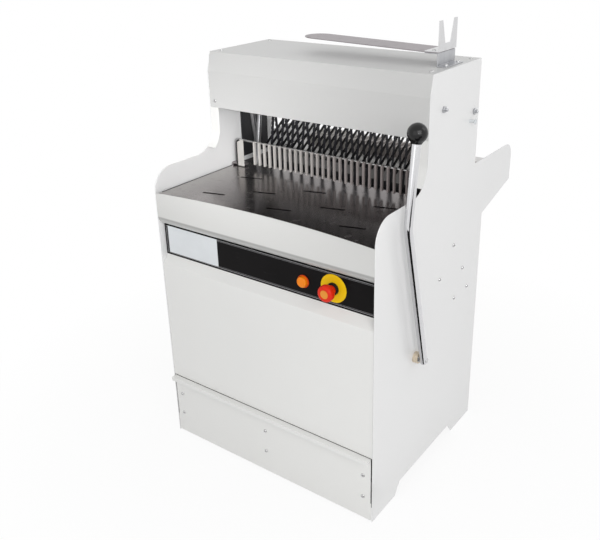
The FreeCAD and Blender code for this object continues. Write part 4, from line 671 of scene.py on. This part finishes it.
def holdDownStrips():
    along = Vector((strips["tipY"] - strips["rodY"], strips["tipZ"] - strips["rodZ"]))
    length = along.length
    along.normalize()
    across = Vector((-along.y, along.x))
    half = strips["width"] / 2
    flat = [(strips["rodRadius"], -half), (length - strips["tipRound"], -half)]
    flat += cornerArc((length - strips["tipRound"], -half + strips["tipRound"]),
                      strips["tipRound"], -90, 0, 4)[1:]
    flat += cornerArc((length - strips["tipRound"], half - strips["tipRound"]),
                      strips["tipRound"], 0, 90, 4)
    flat += [(strips["rodRadius"], half)]
    outline = []
    for reach, side in flat:
        spot = Vector((strips["rodY"], strips["rodZ"])) + along * reach + across * side
        outline.append((spot.x, spot.y))
    half = strips["thick"] / 2
    strip = plate("holdStrip", outline, "YZ", firstX - half, firstX + half)
    softened(strip, strips["edge"], 2, 40.0)
    fan = row("holdDownStrips", strip, comb["count"], (comb["pitch"], 0, 0),
              (0.5, 0.0, 0.3), 9, finishes["strip_black_steel"])
    return finished(fan, "strip_black_steel", "hold_down", ["hold_down_strips"])


holdDownStrips()

blades = {
    "depth": 12.0, "thick": 0.6, "low": -170.0, "high": 120.0,
    "wave": 13.0, "waveDepth": 3.2, "steps": 6, "tilt": 8.0, "crossY": 365.0, "crossZ": 830.0,
}


def bladeRow(key, lean, number):
    half = blades["depth"] / 2
    start = (1 - number) * comb["pitch"]
    count = int((blades["high"] - blades["low"]) / blades["wave"])
    tall = (blades["high"] - blades["low"]) / count
    flat = [(half, blades["low"]), (half, blades["high"])]
    for wave in range(count):
        for stepAt in range(blades["steps"]):
            share = stepAt / blades["steps"]
            dip = blades["waveDepth"] * (1 - math.sqrt(abs(math.sin(math.pi * share))))
            flat.append((-half + dip, blades["high"] - (wave + share) * tall))
    flat.append((-half + blades["waveDepth"], blades["low"]))
    angle = math.radians(blades["tilt"] * lean)
    outline = []
    for across, up in flat:
        outline.append((blades["crossY"] + across * math.cos(angle) - up * math.sin(angle),
                        blades["crossZ"] + across * math.sin(angle) + up * math.cos(angle)))
    blade = plate("blade", outline, "YZ", start - blades["thick"] / 2, start + blades["thick"] / 2)
    softened(blade, 0)
    node = "frame_%s_blades" % key
    rank = row(camel(node), blade, number, (comb["pitch"] * 2, 0, 0),
               (0.0, 0.0, 0.0), 2, finishes["blade_steel"])
    return finished(rank, "blade_steel", bodyOf[node], [node])


bladeRow("a", -1, comb["count"] // 2)
bladeRow("b", 1, comb["count"] // 2 - 1)
print("combs, strips and blades made")


heads = {
    "screwRadius": 5.0, "screwHeight": 2.6, "boltRadius": 6.5, "boltHeight": 3.0, "sides": 32,
}


def crossRim(index, angle):
    # Rings from the fourth on follow a cross recess.
    if index < 4:
        return 1.0
    along, across = abs(math.cos(angle)), abs(math.sin(angle))
    return min(1.0 / max(along, across), 0.3 / max(min(along, across), 1e-6))


def hexRim(index, angle):
    if index < 4:
        return 1.0
    return math.cos(math.pi / 6) / math.cos((angle % (math.pi / 3)) - math.pi / 6)


def screwHead(name, radius, height, rim, recess):
    profile = [(radius, 0.0), (radius, height * 0.45), (radius * 0.86, height * 0.85),
               (radius * 0.66, height), (radius * recess, height * 0.98),
               (radius * recess * 0.9, height * 0.35), (0, height * 0.3)]
    head = revolved(name, profile, Vector((0, 0, 0)), (0, 0, 1), heads["sides"], rim)
    return softened(head, 0, smooth=30.0)


crossHead = screwHead("crossHead", heads["screwRadius"], heads["screwHeight"], crossRim, 0.5)
panHead = screwHead("panHead", heads["boltRadius"], heads["boltHeight"], hexRim, 0.45)
smallHead = screwHead("smallHead", heads["screwRadius"], heads["boltHeight"], hexRim, 0.45)

side = {"inner": 328.0, "outer": 330.0}
hood = {"inset": 18, "top": 1060, "rows": (263, 467), "front": 224, "frontHeight": 932}
# Screws of the spoon's bracket: on its upper shelf and on its foot.
bracket = {"shelfX": 279, "shelfRows": (331, 369), "shelf": 1095,
           "footX": 307, "footRows": (339, 401), "foot": 1062}
hoodSpots = []
for direction in (-1, 1):
    x = direction * (side["inner"] - hood["inset"])
    hoodSpots += [(mm(x, y, hood["top"]), (0, 0, 1)) for y in hood["rows"]]
    hoodSpots.append((mm(x, hood["front"], hood["frontHeight"]), (0, -1, 0)))
for level in ("shelf", "foot"):
    hoodSpots += [(mm(bracket[level + "X"], y, bracket[level]), (0, 0, 1))
                  for y in bracket[level + "Rows"]]
finished(fasteners("hoodScrews", crossHead, hoodSpots, 3, finishes["bright_steel"]),
         "bright_steel", "cabinet", ["hood_screws"])

drawer = {"rows": (69, 133), "columns": (-303, 0, 303)}
drawerSpots = [(mm(x, 0, z), (0, -1, 0)) for z in drawer["rows"] for x in drawer["columns"]]
finished(fasteners("drawerScrews", crossHead, drawerSpots, 5, finishes["bright_steel"]),
         "bright_steel", "drawer", ["drawer_screws"])

bolts = {  # Y and Z on the side panels
    "upper": ((290, 973), (458, 935)),
    "lower": ((384, 605), (445, 518), (312, 537), (481, 449), (404, 446)),
}
for label, spots, head in (("panelBoltsUpper", bolts["upper"], panHead),
                           ("panelBoltsLower", bolts["lower"], smallHead)):
    places = [(mm(direction * side["outer"], y, z), (direction, 0, 0))
              for direction in (-1, 1) for y, z in spots]
    finished(fasteners(label, head, places, 7, finishes["bright_steel"]),
             "bright_steel", "cabinet", ["panel_bolts"])
dropped(crossHead, panHead, smallHead)

threadEnd = {"nut": 8.0, "nutHeight": 5.0, "radius": 4.0, "length": 11.0}
threadProfile = [(threadEnd["nut"], 0.0), (threadEnd["nut"], threadEnd["nutHeight"] - 0.8),
                 (threadEnd["nut"] - 0.9, threadEnd["nutHeight"]),
                 (threadEnd["radius"] + 0.2, threadEnd["nutHeight"]),
                 (threadEnd["radius"], threadEnd["nutHeight"] + 0.4),
                 (threadEnd["radius"], threadEnd["length"] - 1.0),
                 (threadEnd["radius"] - 0.9, threadEnd["length"]), (0, threadEnd["length"])]


def nutRim(index, angle):
    return hexRim(4, angle) if index < 3 else 1.0


thread = softened(revolved("threadEnd", threadProfile, Vector((0, 0, 0)), (0, 0, 1), 24, nutRim),
                  0, smooth=30.0)
threadSpots = [(mm(side["outer"], y, z), (1, 0, 0)) for y, z in bolts["upper"]]
finished(fasteners("panelBoltEnds", thread, threadSpots, 8, extraFinishes["bracketSteel"]),
         "bracketSteel", "cabinet")
dropped(thread)

hook = {"y": 438.0, "z": 915.0, "reach": 16.0, "peg": 4.0, "end": 6.5}
hookProfile = [(hook["peg"] * 1.3, 0), (hook["peg"] * 1.3, 1.0), (hook["peg"], 1.8),
               (hook["peg"], hook["reach"] - 4.0), (hook["end"] * 0.9, hook["reach"] - 3.0),
               (hook["end"], hook["reach"] - 2.2), (hook["end"], hook["reach"] - 0.8),
               (hook["end"] * 0.85, hook["reach"]), (0, hook["reach"])]
finished(softened(revolved("cordHook", hookProfile, mm(side["outer"], hook["y"], hook["z"]),
                           (1, 0, 0), 32), 0),
         "whitePeg", "cabinet", ["cord_hook"])
print("screws, bolts and hook made")


panelFront = 19.0  # front of the control film, in machine Y
lamp = {"x": 125.0, "z": 598.0, "radius": 13.5, "proud": 10.0, "bezel": 16.0, "bezelProud": 3.0,
        "rear": 21.0}
lampCentre = mm(lamp["x"], panelFront, lamp["z"])
# The lens in front of its sleeve: share of the radius and depth under the foremost point.
lensRings = ((1.0, 2.4), (0.95, 1.1), (0.84, 0.3), (0.78, 0.9), (0.4, 0.5))
lampProfile = [(lamp["radius"], -lamp["rear"])]
lampProfile += [(lamp["radius"] * share, lamp["proud"] - depth) for share, depth in lensRings]
lampProfile.append((0, lamp["proud"] - 0.4))
finished(softened(revolved("startButton", lampProfile, lampCentre, (0, -1, 0), 64), 0),
         "orange_lens", "start", ["start_button"])
bezelInner = lamp["radius"] + 0.5
bezelProfile = [(bezelInner, 0), (lamp["bezel"], 0), (lamp["bezel"], 1.4),
                (lamp["bezel"] - 0.7, lamp["bezelProud"] - 0.2), (bezelInner + 0.6, lamp["bezelProud"]),
                (bezelInner, lamp["bezelProud"] - 0.6)]


def ringPiece(name, profile, centre, sides=64):
    # A revolved ring: its last ring joins its first.
    bm = bmesh.new()
    turn = Vector((0, 0, 1)).rotation_difference(Vector((0, -1, 0))).to_matrix()
    rings = [[bm.verts.new(centre + turn @ Vector((radius * math.cos(math.tau * step / sides),
                                                   radius * math.sin(math.tau * step / sides),
                                                   height)) / 1000)
              for step in range(sides)] for radius, height in profile]
    for index, ring in enumerate(rings):
        after = rings[(index + 1) % len(rings)]
        for step in range(sides):
            following = (step + 1) % sides
            bm.faces.new([ring[step], ring[following], after[following], after[step]])
    return newPiece(name, bm)


finished(softened(ringPiece("buttonBezel", bezelProfile, lampCentre), 0),
         "orangeRim", "cabinet", ["button_bezel"])

stop = {"x": 210.0, "z": 603.0, "plate": 35.0, "plateProud": 1.5, "collar": 15.0,
        "collarProud": 8.5, "head": 20.0, "headProud": 39.0, "headThick": 18.0, "stem": 11.0,
        "stemLength": 60.0, "dot": 10.5}
stopCentre = mm(stop["x"], panelFront, stop["z"])
bore = stop["stem"] + 0.5
plateProfile = [(bore, 0), (stop["plate"], 0), (stop["plate"], 0.9),
                (stop["plate"] - 0.6, stop["plateProud"]), (bore, stop["plateProud"])]
finished(softened(ringPiece("estopPlate", plateProfile, stopCentre, 96), 0),
         "yellow_plate", "cabinet", ["estop_plate"])
collarProfile = [(bore, stop["plateProud"]), (stop["collar"], stop["plateProud"]),
                 (stop["collar"], stop["collarProud"] - 1.5),
                 (stop["collar"] - 1.2, stop["collarProud"]), (bore, stop["collarProud"])]
finished(softened(ringPiece("estopCollar", collarProfile, stopCentre), 0),
         "black_plastic", "cabinet", ["estop_collar"])
headLow = stop["headProud"] - stop["headThick"]
mushroomProfile = [(stop["stem"], stop["headProud"] - stop["stemLength"]), (stop["stem"], headLow),
                   (stop["head"] - 3.5, headLow), (stop["head"] - 1.2, headLow + 1.6),
                   (stop["head"], headLow + 4.5), (stop["head"], stop["headProud"] - 6.5),
                   (stop["head"] - 0.9, stop["headProud"] - 3.0),
                   (stop["head"] - 3.2, stop["headProud"] - 0.8),
                   (stop["head"] - 6.0, stop["headProud"]),
                   (stop["dot"] + 0.2, stop["headProud"] - 0.4),
                   (stop["dot"], stop["headProud"] - 0.9), (0, stop["headProud"] - 0.9)]
finished(softened(revolved("estopMushroom", mushroomProfile, stopCentre, (0, -1, 0), 64), 0),
         "red_button", "estop", ["estop_mushroom"])
dotProfile = [(stop["dot"] - 0.3, stop["headProud"] - 1.4),
              (stop["dot"] - 0.3, stop["headProud"] - 0.55),
              (stop["dot"] - 0.8, stop["headProud"] - 0.25), (0, stop["headProud"] - 0.15)]
finished(softened(revolved("estopDot", dotProfile, stopCentre, (0, -1, 0), 64), 0),
         "yellowDot", "estop")
print("buttons made")


lever = {
    "plane": 353.0, "radius": 10.0, "foot": (196.0, 373.0), "bend": (97.0, 754.0),
    "knob": (125.5, 958.5), "tail": 12.0, "bendRadius": 90.0, "knobRadius": 22.5,
    "steps": 14, "sides": 48,
    # The tube's closed end: way along the tube and inset of the radius.
    "mouth": ((0.0, 5.0), (1.2, 2.0), (3.6, 0.4), (6.0, 0.0)),
    "neck": ((11.5, 0.985), (12.5, 0.9)), "ballSteps": 24, "ballStart": -56, "ballTurn": 146,
}


def leverPath():
    foot, bend, knob = (Vector((0, *lever[key])) for key in ("foot", "bend", "knob"))
    lowRun = (bend - foot).normalized()
    highRun = (knob - bend).normalized()
    turn = lowRun.angle(highRun)
    setback = lever["bendRadius"] * math.tan(turn / 2)
    entry = bend - lowRun * setback
    leave = bend + highRun * setback
    normal = (highRun - lowRun).normalized()
    centre = bend + normal * lever["bendRadius"] / math.cos(turn / 2)
    points = [(foot - lowRun * lever["tail"], lowRun), (entry, lowRun)]
    for step in range(1, lever["steps"]):
        turned = Matrix.Rotation(turn * step / lever["steps"] *
                                 (1 if lowRun.cross(highRun).x > 0 else -1), 3, "X")
        points.append((centre + turned @ (entry - centre), turned @ lowRun))
    points += [(leave, highRun), (knob - highRun * (lever["knobRadius"] - 4.0), highRun)]
    return points, lowRun, highRun, knob


def leverTube():
    points, lowRun, _, _ = leverPath()
    bm = bmesh.new()
    rings = []
    radius = lever["radius"]
    foot = points[0][0]
    ends = [(foot + lowRun * way, lowRun, radius - inset) for way, inset in lever["mouth"]]
    for place, along, reach in ends + [(place, along, radius) for place, along in points[1:]]:
        across = Vector((1, 0, 0))
        upright = along.cross(across)
        ring = []
        for number in range(lever["sides"]):
            angle = math.tau * number / lever["sides"]
            spot = place + (across * math.cos(angle) + upright * math.sin(angle)) * reach
            ring.append(bm.verts.new(mm(spot.x + lever["plane"], spot.y, spot.z)))
        rings.append(ring)
    for low, high in zip(rings, rings[1:]):
        for number in range(lever["sides"]):
            following = (number + 1) % lever["sides"]
            bm.faces.new([low[number], low[following], high[following], high[number]])
    bm.faces.new(rings[0])
    bm.faces.new(rings[-1])
    tube = softened(newPiece("leverTube", bm), 0, smooth=50.0)
    return finished(tube, "chrome_tube", "lever", ["lever_tube"])


def leverKnob():
    _, _, highRun, knob = leverPath()
    radius = lever["knobRadius"]
    steps = lever["ballSteps"]
    profile = [(reach, -radius * share) for reach, share in lever["neck"]]
    for number in range(1, steps + 1):
        angle = math.radians(lever["ballStart"] + lever["ballTurn"] * number / steps)
        across = radius * math.cos(angle) if number < steps else 0
        profile.append((across, radius * math.sin(angle)))
    ball = revolved("leverKnob", profile, mm(lever["plane"], knob.y, knob.z), highRun, 64)
    return finished(softened(ball, 0, smooth=50.0), "black_knob", "lever", ["lever_knob"])


leverTube()
leverKnob()
print("hand lever made")


studio = {
    "ambient": 0.56, "floor": 0.9, "floorSize": 12.0, "near": 0.9, "fadeFrom": 0.4, "fade": 0.8,
    "key": {"place": (2.6, 1.5, 3.0), "aim": (0.0, 0.0, 0.6), "size": 1.6, "power": 12.0},
    "right": {"place": (2.3, -1.9, 2.0), "aim": (0.0, 0.0, 0.7), "size": 2.0, "power": 38.0},
    "front": {"place": (0.2, -3.4, 1.7), "aim": (0.0, 0.0, 0.5), "size": 2.4, "power": 11.0},
    "opening": {"place": (1.35, -1.55, 1.3), "aim": (-0.335, -0.1, 0.853), "size": 0.2,
                "power": 160.0, "cone": 14.8},
}


def softLamp(name, place, aim, size, power, cone=None):
    data = bpy.data.lights.new(name, "SPOT" if cone else "AREA")
    if cone:
        data.spot_size = math.radians(cone)
        data.spot_blend = 1.0
        data.shadow_soft_size = size
    else:
        data.shape = "SQUARE"
        data.size = size
    data.energy = power
    lampObject = bpy.data.objects.new(name, data)
    bpy.context.scene.collection.objects.link(lampObject)
    lampObject.location = place
    lampObject.rotation_euler = (Vector(aim) - Vector(place)).to_track_quat("-Z", "Y").to_euler()


for lampName in ("key", "right", "front", "opening"):
    softLamp(lampName + "Lamp", **studio[lampName])


world = bpy.data.worlds.new("studio")
bpy.context.scene.world = world
sky = Shade("studio", world)
sky.paint(Color=(1.0, 1.0, 1.0, 1.0),
          Strength=studio["ambient"] + sky.seenDirectly() * (1.0 - studio["ambient"]))

half = studio["floorSize"] / 2
bm = bmesh.new()
bm.faces.new([bm.verts.new(corner) for corner in
              ((-half, -half, 0), (half, -half, 0), (half, half, 0), (-half, half, 0))])
floor = newPiece("studioFloor", bm)
ground = Shade("floorPaint")
ground.paint(Base_Color=(studio["floor"],) * 3 + (1.0,), Roughness=0.9, Specular_IOR_Level=0.1)
away = ((ground.x * ground.x + ground.y * ground.y) ** 0.5 - studio["fadeFrom"]) / studio["fade"]
shown = ground.seenDirectly() * (studio["near"] + away.held() * (1.0 - studio["near"]))
glow = ground.node("ShaderNodeEmission", None, {"Strength": 1.0})
plain = Wire(ground, ground.surface.outputs[0])
joined = ground.node("ShaderNodeMixShader", None, {0: shown, 1: plain, 2: glow})
ground.tree.links.new(joined.socket, ground.tree.nodes["Material Output"].inputs["Surface"])
floor.data.materials.append(ground.material)

# A dark card on the floor at the right, seen only in the chrome of the lever.
card = {"middle": (0.585, -0.70), "across": (0.89, 0.46), "half": 0.36, "slim": (0.14, 0.62),
        "step": 0.46, "top": 0.72, "lift": 0.002, "tip": (0.36, -0.24)}
across = Vector((*card["across"], 0.0))
slimLow, slimHigh = card["slim"]
corners = [(-card["half"], card["lift"]), (card["half"], card["lift"]),
           (card["half"], card["step"]), (slimHigh, card["step"]), (slimHigh, card["top"]),
           (slimLow, card["top"]), (slimLow, card["step"]), (-card["half"], card["step"])]
bm = bmesh.new()
upright = [bm.verts.new(Vector((*card["middle"], height)) + across * reach)
           for reach, height in corners]
bm.faces.new(upright)
bm.faces.new([upright[0], upright[1], bm.verts.new((*card["tip"], card["lift"]))])
darkCard = newPiece("darkCard", bm)
velvet = Shade("cardVelvet")
velvet.paint(Base_Color=(0.01, 0.01, 0.01, 1.0), Roughness=0.9, Specular_IOR_Level=0.0)
darkCard.data.materials.append(velvet.material)
for ray in ("camera", "diffuse", "shadow", "transmission"):
    setattr(darkCard, "visible_" + ray, False)

camera = {
    "place": (1.04165, -1.5748, 1.3649), "azimuth": 35.64, "elevation": -22.37, "roll": -1.03,
    "focal": 743.70, "width": 600, "height": 540, "centre": (320.0, 230.0), "sensor": 36.0,
}


def placeCamera():
    azimuth, elevation, roll = (math.radians(camera[key])
                                for key in ("azimuth", "elevation", "roll"))
    forward = Vector((-math.sin(azimuth) * math.cos(elevation),
                      math.cos(azimuth) * math.cos(elevation), math.sin(elevation)))
    right = Vector((math.cos(azimuth), math.sin(azimuth), 0))
    up = right.cross(forward)
    rolledRight = right * math.cos(roll) + up * math.sin(roll)
    rolledUp = up * math.cos(roll) - right * math.sin(roll)
    data = bpy.data.cameras.new("camera")
    data.sensor_width = camera["sensor"]
    data.lens = camera["focal"] * camera["sensor"] / camera["width"]
    data.shift_x = (camera["width"] / 2 - camera["centre"][0]) / camera["width"]
    data.shift_y = (camera["centre"][1] - camera["height"] / 2) / camera["width"]
    data.clip_end = 50.0
    view = bpy.data.objects.new("camera", data)
    bpy.context.scene.collection.objects.link(view)
    turn = Matrix((rolledRight, rolledUp, -forward)).transposed().to_4x4()
    view.matrix_world = Matrix.Translation(camera["place"]) @ turn
    bpy.context.scene.camera = view


placeCamera()
bpy.context.scene.view_settings.view_transform = "Standard"
print("studio ready")
